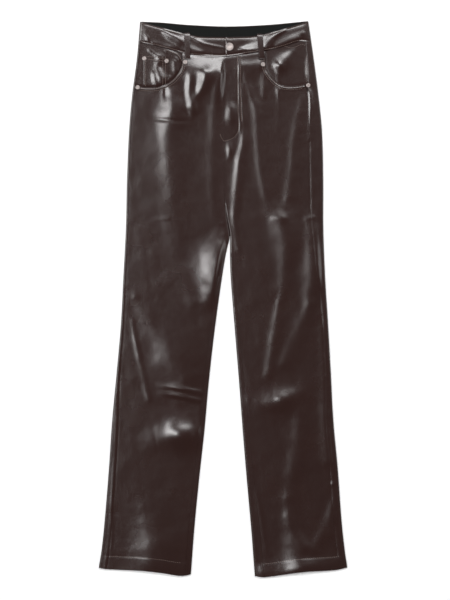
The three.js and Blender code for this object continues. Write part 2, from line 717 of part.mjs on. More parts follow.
// Joins two equal grids of points and their borders into one closed body, faces outwards.
function closedWall(outer, inner) {
  const rows = outer.length;
  const columns = outer[0].length;
  const positions = [...outer.flat(), ...inner.flat()];
  const index = [];
  const id = (layer, j, i) => layer * rows * columns + j * columns + i;
  const distance = (a, b) => Math.hypot(...positions[a].map((value, k) => value - positions[b][k]));
  const quad = (a, b, c, d) => {
    if (distance(a, c) <= distance(b, d)) {
      index.push(a, b, c, a, c, d);
    } else {
      index.push(a, b, d, b, c, d);
    }
  };
  for (let j = 0; j < rows - 1; j += 1) {
    for (let i = 0; i < columns - 1; i += 1) {
      quad(id(0, j, i), id(0, j + 1, i), id(0, j + 1, i + 1), id(0, j, i + 1));
      quad(id(1, j, i), id(1, j, i + 1), id(1, j + 1, i + 1), id(1, j + 1, i));
    }
    for (const [i, flip] of [[0, false], [columns - 1, true]]) {
      const ring = [id(0, j, i), id(1, j, i), id(1, j + 1, i), id(0, j + 1, i)];
      quad(...(flip ? ring.reverse() : ring));
    }
  }
  for (let i = 0; i < columns - 1; i += 1) {
    for (const [j, flip] of [[0, true], [rows - 1, false]]) {
      const ring = [id(0, j, i), id(1, j, i), id(1, j, i + 1), id(0, j, i + 1)];
      quad(...(flip ? ring.reverse() : ring));
    }
  }
  const volume = index.reduce((sum, _, k) => {
    if (k % 3) {
      return sum;
    }
    const [a, b, c] = [0, 1, 2].map((n) => new THREE.Vector3(...positions[index[k + n]]));
    return sum + a.dot(b.cross(c)) / 6;
  }, 0);
  if (volume < 0) {
    index.reverse();
  }
  const geometry = new THREE.BufferGeometry();
  geometry.setAttribute('position', new THREE.Float32BufferAttribute(positions.flat(), 3));
  geometry.setIndex(index);
  geometry.computeVertexNormals();
  return geometry;
}

const LOOPS = {
  right: { topX: -70.2, topY: 519.0, footX: -69.4, footY: 468.4 },
  left: { topX: 71.4, topY: 516.6, footX: 75.4, footY: 468.5 },
};
const BUTTON_AT = [12.5, 492.2];
const MOUTH_RIVETS = {
  right: [[-73.9, 462.2], [-166.7, 413.2]],
  left: [[78.0, 457.9], [166.1, 416.8]],
};
const COIN_RIVETS = [[-153.7, 469.2], [-110.2, 464.5]];
const MOUTH_RIVET_INSET = 1.5; // the lower ones sit this far down from the mouth's edge

const trousers = new THREE.Group();
function add(name, geometry, finish) {
  const mesh = new THREE.Mesh(geometry, new THREE.MeshStandardMaterial(finish));
  mesh.name = name;
  trousers.add(mesh);
}

for (const side of ['right', 'left']) {
  add(`front_${side}_leg`, frontPanel(side), LEATHER);
  add(`back_${side}_leg`, backPanel(side), LEATHER);
  add(`waistband_${side}`, waistband(side), LEATHER);
  add(`pocket_facing_${side}`, pocketFacing(side), LEATHER);
  add(`belt_loop_${side}`, beltLoop(side, LOOPS[side]), LEATHER);
  MOUTH_RIVETS[side].forEach(([x, y], i) => {
    const seatY = i === 0 ? y : read(MOUTHS[side], 'x', 'y', x) - MOUTH_RIVET_INSET;
    add(`rivet_${side}_mouth_${i + 1}`, rivet(x, seatY, panelSurface), SILVER);
  });
}
add('waistband_facing', waistbandFacing(), FACING);
add('coin_pocket', coinPocket(), LEATHER);
add('fly_zip', flyStrip(-2, 24, -CLOTH - SEAM_GAP), TAPE);
add('fly_shield', flyStrip(-8, 28, -CLOTH - THIN_WALL - 2 * SEAM_GAP), LEATHER);
COIN_RIVETS.forEach(([x, y], i) => {
  const coinTop = (px, py) => smoothSurface(px, py) + SEAM_GAP + THIN_WALL - FACING_DEPTH;
  add(`rivet_coin_${i + 1}`, rivet(x, y, coinTop), SILVER);
});
add('jeans_button', jeansButton(...BUTTON_AT, (x) => bandSurface('left', x)), SILVER);

export default trousers;
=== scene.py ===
"""Faux leather trousers laid flat, front up: cloth with its creases, sewing, metal and light."""
import logging
import math
from dataclasses import dataclass, field
from enum import Enum
from functools import partial
from typing import Any, Callable, ClassVar, Iterator, Sequence

import bpy
import numpy as np
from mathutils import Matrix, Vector


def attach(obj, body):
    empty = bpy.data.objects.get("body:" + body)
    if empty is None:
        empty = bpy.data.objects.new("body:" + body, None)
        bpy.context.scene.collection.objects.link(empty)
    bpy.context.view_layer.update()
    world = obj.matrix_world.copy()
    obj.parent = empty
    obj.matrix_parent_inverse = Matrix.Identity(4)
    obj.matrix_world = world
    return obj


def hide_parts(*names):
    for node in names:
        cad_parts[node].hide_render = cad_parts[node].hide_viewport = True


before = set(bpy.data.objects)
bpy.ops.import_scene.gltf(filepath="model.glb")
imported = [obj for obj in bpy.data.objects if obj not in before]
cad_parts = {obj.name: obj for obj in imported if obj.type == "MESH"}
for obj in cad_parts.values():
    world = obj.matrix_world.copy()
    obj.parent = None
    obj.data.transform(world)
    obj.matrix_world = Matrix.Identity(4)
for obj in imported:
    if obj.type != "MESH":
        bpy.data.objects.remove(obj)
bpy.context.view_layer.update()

BODY = "root"
MM = 0.001
log = logging.getLogger("trousers")

Array = np.ndarray
Number = float | Array
Height = Callable[[Array, Array], Array]


def mix(a: Number, b: Number, t: Number) -> Number:
    """Goes from a to b as t goes from 0 to 1."""
    return a + (b - a) * t


def ease(t: Number) -> Array:
    """Goes smoothly from 0 to 1 as t does, and stays level outside."""
    t = np.clip(t, 0, 1)
    return t * t * (3 - 2 * t)


def bell(distance: Number, reach: Number) -> Array:
    """A soft hump: 1 where distance is 0, and near 0 past twice the reach."""
    return np.exp(-((distance / reach) ** 2))


def shares(count: int) -> Array:
    """A row of that many even steps from 0 on, without the 1 that would end them."""
    return np.linspace(0, 1, count + 1)[None, :-1]


def steps(*stretches: tuple[float, float, float]) -> Array:
    """Places along a line, in stretches of their own spacing.

    Args:
        stretches: the start, end and spacing of each, one after the other, in mm.

    Returns:
        The places, with both ends.
    """
    parts = [np.linspace(a, b, max(1, round(abs(b - a) / step)) + 1)[:-1]
             for a, b, step in stretches]
    return np.concatenate([*parts, [stretches[-1][1]]])


def lengths_along(points: Array) -> Array:
    """How far along a line each of its points is, from 0 at the first."""
    return np.concatenate([[0], np.cumsum(np.linalg.norm(np.diff(points, axis=0), axis=1))])


def linear(hex_colour: str, alpha: float = 1.0) -> tuple[float, float, float, float]:
    """Turns an sRGB hex colour into linear RGBA.

    Args:
        hex_colour: such as "#3a2d2c".
        alpha: the fourth number.

    Returns:
        Red, green, blue and alpha, linear.
    """
    parts = [int(hex_colour[k:k + 2], 16) / 255 for k in (1, 3, 5)]
    r, g, b = (c / 12.92 if c <= 0.04045 else ((c + 0.055) / 1.055) ** 2.4 for c in parts)
    return r, g, b, alpha


def fill_sockets(tree: bpy.types.NodeTree, node: bpy.types.Node,
                 inputs: dict[str | int, Any]) -> None:
    """Sets or links a node's inputs.

    Args:
        tree: the node tree that it is in.
        node: the node.
        inputs: by socket, a number, a colour, a datablock or another node's output.
    """
    for name, value in inputs.items():
        if isinstance(value, bpy.types.NodeSocket):
            tree.links.new(value, node.inputs[name])
        else:
            node.inputs[name].default_value = value


def add_node(tree: bpy.types.NodeTree, kind: str, settings: dict[str, Any] | None = None,
             inputs: dict[str | int, Any] | None = None) -> bpy.types.Node:
    """Adds a node, with its settings and what goes into its sockets.

    Args:
        tree: the node tree it is added to.
        kind: the node's type.
        settings: properties of the node.
        inputs: by socket, a number, a colour, a datablock or another node's output.

    Returns:
        The node.
    """
    node = tree.nodes.new(kind)
    for name, value in (settings or {}).items():
        setattr(node, name, value)
    fill_sockets(tree, node, inputs or {})
    return node


def put_in_scene(name: str, data: bpy.types.ID) -> bpy.types.Object:
    """Makes an object and links it into the scene.

    Args:
        name: the object's name.
        data: its mesh, curve, light or camera.

    Returns:
        The object, at the origin.
    """
    placed = bpy.data.objects.new(name, data)
    bpy.context.scene.collection.objects.link(placed)
    return placed


def smooth_mesh(name: str, points: Array, faces: Sequence[Sequence[int]],
                material: bpy.types.Material, sharp_from: float | None = None) -> bpy.types.Mesh:
    """Makes a smooth-shaded mesh.

    Args:
        name: the mesh's name.
        points: one (x, y, z) a row, in mm.
        faces: the numbers of each face's points.
        material: its finish.
        sharp_from: edges that bend more than this, in degrees, are shaded sharp.

    Returns:
        The mesh.
    """
    mesh = bpy.data.meshes.new(name)
    mesh.from_pydata((points * MM).tolist(), [], faces)
    mesh.polygons.foreach_set("use_smooth", np.ones(len(mesh.polygons), bool))
    if sharp_from is not None:
        mesh.set_sharp_from_angle(angle=math.radians(sharp_from))
    mesh.materials.append(material)
    mesh.update()
    return mesh


def dress(piece: bpy.types.Object, slot: str, nodes: Sequence[str] = ()) -> None:
    """Ties a finished piece to the frame.

    Args:
        piece: the piece, which rides on the one body.
        slot: the record's material slot; not used.
        nodes: the solids that it stands for.
    """
    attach(piece, BODY)
    if nodes:
        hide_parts(*nodes)


class Side(Enum):
    """The wearer's two sides. The value is the way along X from the centre."""

    RIGHT = -1
    LEFT = 1

    @property
    def word(self) -> str:
        """The side as the solids' names have it."""
        return self.name.lower()


def by_side(right: Any, left: Any) -> Any:
    """A dataclass field that holds one thing for each of the wearer's sides."""
    return field(default_factory=lambda: {Side.RIGHT: right, Side.LEFT: left})


class Curve:
    """A smooth curve through a short table of (place, value) rows, straight beyond its ends."""

    def __init__(self, *rows: tuple[float, float]) -> None:
        """Takes the table and finds the slope at each of its rows.

        Args:
            rows: place and value of each, in any order.
        """
        self.at, self.value = np.array(sorted(rows), float).T
        low = np.maximum(np.arange(len(self.at)) - 1, 0)
        high = np.minimum(np.arange(len(self.at)) + 1, len(self.at) - 1)
        self.slope = (self.value[high] - self.value[low]) / (self.at[high] - self.at[low])

    def __call__(self, at: Number) -> Array:
        """Reads the curve.

        Args:
            at: the places.

        Returns:
            The value at each place.
        """
        at = np.asarray(at, float)
        i = np.clip(np.searchsorted(self.at, at) - 1, 0, len(self.at) - 2)
        start, end = self.at[i], self.at[i + 1]
        span = end - start
        t = np.clip((at - start) / span, 0, 1)
        inside = mix(self.value[i], self.value[i + 1], ease(t))
        inside += t * (1 - t) ** 2 * span * self.slope[i]
        inside += t * t * (t - 1) * span * self.slope[i + 1]
        before, after = np.minimum(at - start, 0), np.maximum(at - end, 0)
        return inside + before * self.slope[i] + after * self.slope[i + 1]


class Path:
    """A line on the cloth, seen from above, as points about 1.5 mm apart."""

    def __init__(self, points: Array) -> None:
        """Takes the points and finds the way along and the direction at each.

        Args:
            points: one (x, y) a row, in mm.
        """
        self.points = np.asarray(points, float)
        self.along = lengths_along(self.points)
        tangent = np.gradient(self.points, self.along, axis=0)
        self.tangent = tangent / np.linalg.norm(tangent, axis=1)[:, None]

    @classmethod
    def through(cls, *knots: Sequence[float], step: float = 1.5) -> "Path":
        """A smooth line through a few points.

        Args:
            knots: (x, y) of each, in mm; further numbers are left alone.
            step: how far apart the line's own points are.

        Returns:
            The line.
        """
        table = np.array([knot[:2] for knot in knots], float)
        chord = lengths_along(table)
        at = np.linspace(0, chord[-1], max(2, int(chord[-1] / step) + 1))
        return cls(np.stack([Curve(*zip(chord, table[:, k]))(at) for k in (0, 1)], axis=1))

    def offset(self, by: float) -> "Path":
        """The line moved to its left by so many mm."""
        left = np.stack([-self.tangent[:, 1], self.tangent[:, 0]], axis=1)
        return Path(self.points + by * left)

    def part(self, start: float, end: float) -> "Path":
        """The stretch between two distances along it; an end under 0 counts from the far end."""
        end = end if end > 0 else self.along[-1] + end
        return Path(self.points[(self.along >= start) & (self.along <= end)])

    def nearest(self, x: Array, y: Array) -> tuple[Array, Array, Array]:
        """Where points lie beside the line.

        Args:
            x, y: the points, flat arrays in mm.

        Returns:
            How far along the line each is, how far to its left, and how far past its ends.
        """
        spread = (x[:, None] - self.points[:, 0]) ** 2 + (y[:, None] - self.points[:, 1]) ** 2
        i = spread.argmin(axis=1)
        dx, dy = x - self.points[i, 0], y - self.points[i, 1]
        tx, ty = self.tangent[i].T
        on = dx * tx + dy * ty
        along = self.along[i] + on
        beyond = np.maximum(np.maximum(-along, along - self.along[-1]), 0)
        return np.clip(along, 0, self.along[-1]), dy * tx - dx * ty, beyond

    def in_box(self, x: Array, y: Array, far: float) -> Array:
        """Which points lie in the box round the line, made larger by `far` on each side."""
        low, high = self.points.min(0) - far, self.points.max(0) + far
        return (x > low[0]) & (x < high[0]) & (y > low[1]) & (y < high[1])

    def hump(self, x: Array, y: Array, reach: float, at: float = 0.0) -> Array:
        """A soft hump along the line, or along the one `at` mm to its left.

        Args:
            x, y: arrays of any one shape, in mm.
            reach: how far the hump spreads to each side.
            at: how far to the line's left its crest is.

        Returns:
            From 0 to 1, in the shape of x.
        """
        found = np.zeros(x.shape)
        near = self.in_box(x, y, 3 * reach + abs(at))
        if near.any():
            _, left, beyond = self.nearest(x[near], y[near])
            found[near] = bell(left - at, reach) * bell(beyond, reach)
        return found


@dataclass(frozen=True)
class Groove:
    """What a seam or a row of stitches pulls down: how deep, and how far it spreads, in mm.

    A depth under 0 raises the cloth instead.
    """

    depth: float
    spread: float

    def at(self, distance: Number) -> Array:
        """How deep it is at a distance from its line."""
        return self.depth * bell(distance, self.spread)

    def along(self, line: Path, x: Array, y: Array, left: float = 0.0) -> Array:
        """How deep it is at points near a line, or near the one `left` mm to its left."""
        return self.depth * line.hump(x, y, self.spread, left)


@dataclass(frozen=True)
class Crease:
    """One soft ridge or trough of the cloth, along a given crest.

    Attributes:
        name: where it is on the garment.
        lean: over 0, its slope to the wearer's left is the steeper one.
        crest: x, y, height and spread at a few points of the crest, in mm.
        stop: the x of a seam that ends it, on the crease's left.
        step: how far apart the points along its crest are.
        reach: how many spreads away it still counts.
        fade: how far past the seam it dies out.
    """

    name: str
    lean: float
    crest: tuple[tuple[float, float, float, float], ...]
    stop: float = 1000.0
    step: ClassVar[float] = 2.5
    reach: ClassVar[float] = 3.2
    fade: ClassVar[float] = 12.0

    def height(self, x: Array, y: Array) -> Array:
        """Works out the crease's own height.

        Args:
            x, y: arrays of any one shape, in mm.

        Returns:
            How much higher it makes the cloth at each point, in mm.
        """
        path = Path.through(*self.crest, step=self.step)
        knots = np.array(self.crest)
        chord = lengths_along(knots[:, :2])
        at = chord * path.along[-1] / chord[-1]
        lift, spread = Curve(*zip(at, knots[:, 2])), Curve(*zip(at, knots[:, 3]))
        found = np.zeros(x.shape)
        near = path.in_box(x, y, self.reach * knots[:, 3].max())
        if near.any():
            along, left, beyond = path.nearest(x[near], y[near])
            # A crest runs downwards, so its left is the wearer's left.
            width = spread(along) * np.where(left > 0, 1 - self.lean, 1 + self.lean)
            found[near] = lift(along) * bell(left, width) * bell(beyond, spread(along))
        return found * (1 - ease((x - self.stop) / self.fade))


def creases(*rows: tuple[Any, ...]) -> tuple[Crease, ...]:
    """Makes creases from rows of name, lean, crest and, where a seam ends the crease, its stop."""
    return tuple(Crease(*row) for row in rows)


# Each crest: x, y, height, spread, in mm
FRONT_CREASES = creases(
    ("under the band, right front", -0.29, (
        (-3, 444, 3.94, 30.3), (-26, 441, 5.41, 36.4), (-48, 445, 4.53, 33.4),
        (-67, 450, 3.25, 30.3)), -6),
    ("hip, inner arm", -0.09, (
        (-34, 440, 2.06, 11.9), (-36, 428, 2.08, 10.5), (-40, 416, 1.83, 9.5),
        (-45, 406, 1.59, 8.6), (-51, 396, 1.32, 7.6), (-55, 389, 0.61, 5.7))),
    ("hip, outer arm", 0, (
        (-65, 437, 0.72, 6.5), (-65, 420, 1.34, 7.4), (-65, 402, 1.74, 8.2), (-62, 389, 2.51, 10),
        (-60, 378, 2.95, 10.8), (-59, 368, 2.34, 9.5), (-61, 358, 0.81, 6.5))),
    ("below the coin pocket", -0.13, (
        (-102, 414, 1.84, 17.4), (-98, 397, 2.6, 19.9), (-97, 375, 3.55, 22.4),
        (-99, 357, 3.25, 24.9), (-104, 340, 2.68, 22.4), (-105, 318, 2.19, 22.4),
        (-104, 292, 1.91, 24.9), (-100, 233, 1.37, 24.9), (-97, 163, 0.53, 22.4))),
    ("coin pocket's notch", 0, (
        (-113, 412, -0.5, 2.6), (-112, 400, -0.9, 2.8), (-113, 386, -0.2, 2.6))),
    ("pocket bag's edge", 0, (
        (-143, 351, -0.2, 3.4), (-119, 350, -0.6, 3.4), (-96, 348, -0.6, 3.4),
        (-68, 347, -0.2, 3.4))),
    ("inner thigh", 0, (
        (-3, 438, 1.26, 8.7), (-12, 399, 1.13, 9.8), (-17, 359, 0.71, 10.8), (-20, 310, 0.47, 10.8),
        (-21, 232, 0.48, 10.8), (-19, 166, 0.28, 10.8))),
    ("inner thigh, low", 0, (
        (-9, 141, 0.16, 10.8), (-7, 121, 1.3, 21.7), (-6, 93, 4.25, 32.5), (-5, 58, 5.95, 39),
        (-13, 30, 5.36, 32.5), (-29, 0, 2.21, 17.3)), 1),
    ("small line", 0.11, ((-106, 157, 0.6, 3.1), (-129, 157, 0.17, 3.1))),
    ("inseam puckers", 0.11, ((11, 156, 0.21, 3.9), (1, 148, 0.52, 3.9))),
    ("inseam pucker, low", 0.11, ((11, 135, 0.3, 3.9), (0, 125, 0.23, 4.3))),
    ("thigh slant", -0.09, (
        (-101, 146, 0.56, 19.1), (-90, 89, 0.42, 21.5), (-71, 36, 0.48, 21.5),
        (-58, -5, 0.55, 11.9))),
    ("outer knee", 0, (
        (-177, -40, 0.3, 3.9), (-173, -69, 0.41, 4.3), (-167, -98, 0.77, 4.8),
        (-160, -130, 0.32, 5.2), (-153, -161, 0.28, 5.2), (-145, -196, 0.56, 5.2))),
    ("knee band", -0.09, (
        (-160, -14, 0.39, 11.9), (-134, -59, 0.98, 21.5), (-106, -96, 2.43, 33.4),
        (-90, -126, 2.79, 35.8), (-77, -150, 2.53, 31))),
    ("outer knee spot", 0, ((-176, 13, 0.06, 4.3), (-172, 5, 0.36, 6.5))),
    ("knee crease", 0, ((-113, -174, -0.1, 3), (-80, -180, -0.5, 3), (-45, -184, -0.2, 3))),
    ("knee crease, low", 0, ((-107, -191, -0.1, 3), (-76, -197, -0.5, 3), (-49, -200, -0.2, 3))),
    ("knee ridge", 0, (
        (-46, -182, 1.27, 5.6), (-65, -179, 1.82, 6.1), (-81, -176, 1.78, 6.1),
        (-104, -172, 0.85, 5.6), (-123, -170, 0.25, 5.6))),
    ("knee ridge, low", 0, (
        (-49, -197, 1.27, 5.6), (-65, -194, 1.82, 6.1), (-81, -190, 1.61, 6.1),
        (-102, -186, 0.77, 5.6), (-123, -184, 0.25, 5.6))),
    ("calf", 0, (
        (-53, -262, 2.89, 26), (-70, -264, 6.03, 26), (-88, -266, 6.38, 26), (-109, -269, 2.89, 26),
        (-132, -273, 1.17, 26))),
    ("right hem", -0.09, (
        (-146, -418, 1.17, 28.6), (-141, -449, 2.31, 33.4), (-134, -481, 3.78, 42.9),
        (-134, -512, 3.78, 42.9))),
    ("right hem's edge", 0.05, (
        (-214, -314, 0.16, 3.3), (-217, -392, 0.26, 3.7), (-217, -440, 0.33, 3.7),
        (-219, -487, 0.28, 3.3))),
    ("beside the fly", 0, (
        (37, 416, 0.43, 4.3), (39, 381, 0.79, 5.2), (40, 338, 0.65, 6.1), (39, 302, 0.98, 6.9),
        (32, 271, 1.37, 8.2), (29, 232, 1.28, 8.7), (25, 193, 0.88, 8.7), (21, 162, 1.05, 7.4),
        (23, 132, 0.36, 6.5), (30, 97, 0.45, 5.2))),
    ("placket", 0, ((15, 388, 0.23, 6.5), (16, 371, 1.5, 10), (15, 353, 1.19, 10.8))),
    ("placket, low", 0.05, ((13, 308, 0.14, 4.9), (14, 293, 1.1, 6.2), (12, 277, 0.48, 4.1))),
    ("under the band, left front", -0.2, (
        (65, 456, 1.49, 13.5), (53, 454, 1.56, 14.9), (41, 454, 1.49, 13.5))),
    ("beside the left rivet", 0.05, (
        (72, 463, 0.42, 4.1), (72, 453, 0.56, 4.5), (70, 443, 0.23, 3.3))),
    ("left hip, faint", 0.11, ((80, 436, 0.91, 7.8), (81, 416, 0.97, 7.8), (80, 396, 0.64, 5.8))),
    ("U, inner arm", -0.09, (
        (42, 436, 0.43, 6.2), (56, 396, 0.72, 8.1), (66, 364, 0.93, 9.5), (69, 321, 0.96, 10.5),
        (73, 260, 0.88, 10.5), (84, 203, 0.82, 11), (93, 187, 0.67, 10.5))),
    ("U, outer arm", -0.09, (
        (155, 391, 0.52, 6.2), (150, 368, 0.81, 8.6), (145, 341, 0.99, 10.5),
        (139, 306, 0.88, 10.5), (134, 251, 0.8, 10.5), (129, 204, 0.76, 11), (124, 185, 0.57, 10))),
    ("U, bottom", 0, ((125, 171, 0.39, 10.8), (105, 163, 0.68, 15.2), (86, 170, 0.39, 10.8))),
    ("left hip, tail", 0, ((108, 408, 0.93, 5.2), (110, 381, 0.39, 5.6), (108, 340, 0.12, 5.2))),
    ("left thigh", 0, (
        (118, 152, 2.56, 21.7), (124, 120, 2.29, 23.8), (122, 73, 1.49, 17.3), (119, 28, 0.89, 13),
        (115, 2, 0.77, 8.7))),
    ("U, foot", 0, ((119, 158, 0.24, 4.3), (97, 157, 0.24, 4.3))),
    ("outer thigh", -0.09, (
        (170, 151, 1.13, 14.3), (176, 106, 2.32, 21.5), (176, 47, 2.42, 21.5),
        (168, 4, 1.21, 14.3))),
    ("outer thigh spot", 0, ((176, 160, 0.42, 3.9), (162, 157, 0.39, 3.9))),
    ("outseam ridge", 0.05, (
        (159, 414, 0.34, 3.3), (168, 405, 0.82, 4.1), (171, 385, 0.87, 4.5), (170, 361, 0.71, 4.5),
        (169, 338, 0.51, 4.1), (169, 312, 0.39, 4.1))),
    ("long knee", 0, (
        (109, -6, 0.67, 6.1), (106, -42, 1.25, 10.8), (98, -90, 1.22, 11.9),
        (88, -147, 0.77, 8.7))),
    ("short knee", -0.13, (
        (170, -10, 1.21, 10), (154, -51, 1.06, 17.4), (135, -90, 0.93, 17.4),
        (115, -125, 0.91, 12.5))),
    ("inner knee curve", 0, ((41, -118, 0.06, 4.3), (48, -149, 0.1, 5.2), (56, -172, 0.2, 5.2))),
    ("below the knee", -0.09, (
        (149, -185, 1.39, 19.1), (134, -191, 3.02, 20), (116, -197, 4.22, 20), (97, -201, 2.73, 20),
        (74, -201, 1.46, 20), (57, -195, 0.78, 19.1))),
    ("shin", -0.05, (
        (150, -223, 1.07, 13.6), (147, -276, 1.4, 18.2), (139, -325, 1.34, 18.2),
        (129, -377, 0.71, 13.6))),
    ("calf curve", -0.05, ((127, -391, 0.89, 11.4), (136, -444, 1, 13.6), (158, -482, 1.16, 11.4))),
    ("calf curve, outer", -0.05, (
        (212, -403, 0.54, 9.1), (201, -443, 1, 11.4), (179, -486, 1.43, 11.4))),
    ("left hem", -0.05, (
        (127, -426, 0.99, 13.6), (133, -460, 1.56, 18.2), (144, -490, 3.16, 27.3),
        (153, -521, 4.55, 31.9))),
    ("left hem, whole", -0.09, (
        (214, -518, 1.29, 16.7), (161, -528, 1.82, 21.5), (112, -534, 1.82, 21.5),
        (68, -534, 1.21, 16.7))),
    ("outer hem", 0, ((214, -392, 0.39, 6.5), (209, -460, 0.67, 6.5))),
    ("outer calf crease", 0.11, ((221, -357, 0.68, 3.5), (213, -361, 0.54, 3.5))),
    ("inner hem", 0.11, ((65, -379, 0.27, 3.9), (75, -430, 0.32, 4.3), (84, -489, 0.23, 3.5))),
    ("outer calf", -0.05, (
        (191, -60, 0.38, 6.8), (198, -138, 0.7, 11.4), (201, -235, 1.12, 13.6),
        (205, -313, 1.3, 13.6))),
)
BAND_CREASES = creases(
    ("right wedge", 0, (
        (-77, 499, 1.66, 9.5), (-84, 504, 2.24, 10), (-92, 509, 2.21, 9.5), (-102, 514, 1.85, 8.2),
        (-113, 521, 1.03, 5.6))),
    ("right grey patch", 0, (
        (-93, 487, 0.63, 6.1), (-104, 489, 1.15, 6.9), (-120, 493, 0.66, 5.6),
        (-136, 497, 0.98, 5.6))),
    ("right end", 0.11, ((-150, 517, 0.29, 2.3), (-147, 510, 0.73, 3.1), (-146, 502, 0.29, 2.3))),
    ("right slant", 0.25, (
        (-1, 490, 0.46, 2.4), (-32, 496, 0.71, 2.9), (-48, 502, 0.71, 2.9), (-61, 511, 0.46, 2.4))),
    ("right of the loop", 0, ((-42, 481, 0.61, 5.4), (-53, 482, 1.2, 8.7), (-65, 487, 1.2, 8.7))),
    ("left wedge", 0.33, ((72, 482, 4.29, 14.6), (53, 483, 2.77, 9.7), (33, 487, 0.72, 3.2))),
    ("left curve", 0.25, (
        (120, 525, 0.86, 3.8), (102, 514, 1.43, 5.5), (90, 502, 2.03, 7.6), (80, 488, 1.01, 4.5))),
    ("left wrinkled band", 0.11, (
        (155, 518, 0.71, 5.1), (133, 506, 1.26, 7.8), (108, 493, 1.09, 7.8))),
    ("left end", 0.25, ((149, 509, 0.7, 3.1), (136, 501, 0.65, 3.1))),
)
FACING_CREASES = creases(
    ("right, above the coin pocket", 0.18, ((-128, 473, 0.54, 3.3), (-144, 486, 0.59, 3.3))),
    ("right stitches", 0.18, (
        (-84, 467, 0.53, 2.9), (-93, 477, 0.65, 3.3), (-112, 485, 0.53, 2.9))),
    ("right, behind the mouth", 0.11, ((-94, 463, 0.65, 4.7), (-93, 447, 0.65, 4.7))),
    ("right, beside the coin pocket", 0.11, ((-104, 433, 0.59, 3.5), (-104, 416, 0.66, 3.9))),
    ("coin pocket", 0, (
        (-122, 471, 1.07, 9.1), (-128, 456, 1.01, 4.8), (-126, 442, 1.65, 8.7),
        (-121, 429, 2.03, 10), (-118, 418, 0.97, 7.8))),
    ("coin pocket, left arm", 0.05, (
        (-136, 441, 0.48, 3.3), (-134, 428, 0.72, 4.1), (-130, 417, 0.66, 4.1))),
    ("left V", 0, ((135, 483, 0.47, 5.2), (123, 469, 1.97, 10.8), (113, 458, 2.65, 13))),
    ("left V, tail", 0, ((109, 455, 0.77, 6.5), (108, 439, 0.47, 5.2), (108, 424, 0.3, 4.3))),
    ("left outer strip", 0.11, (
        (164, 476, 0.24, 2.7), (166, 463, 0.87, 4.3), (166, 443, 0.94, 4.3),
        (166, 426, 0.31, 3.1))),
)


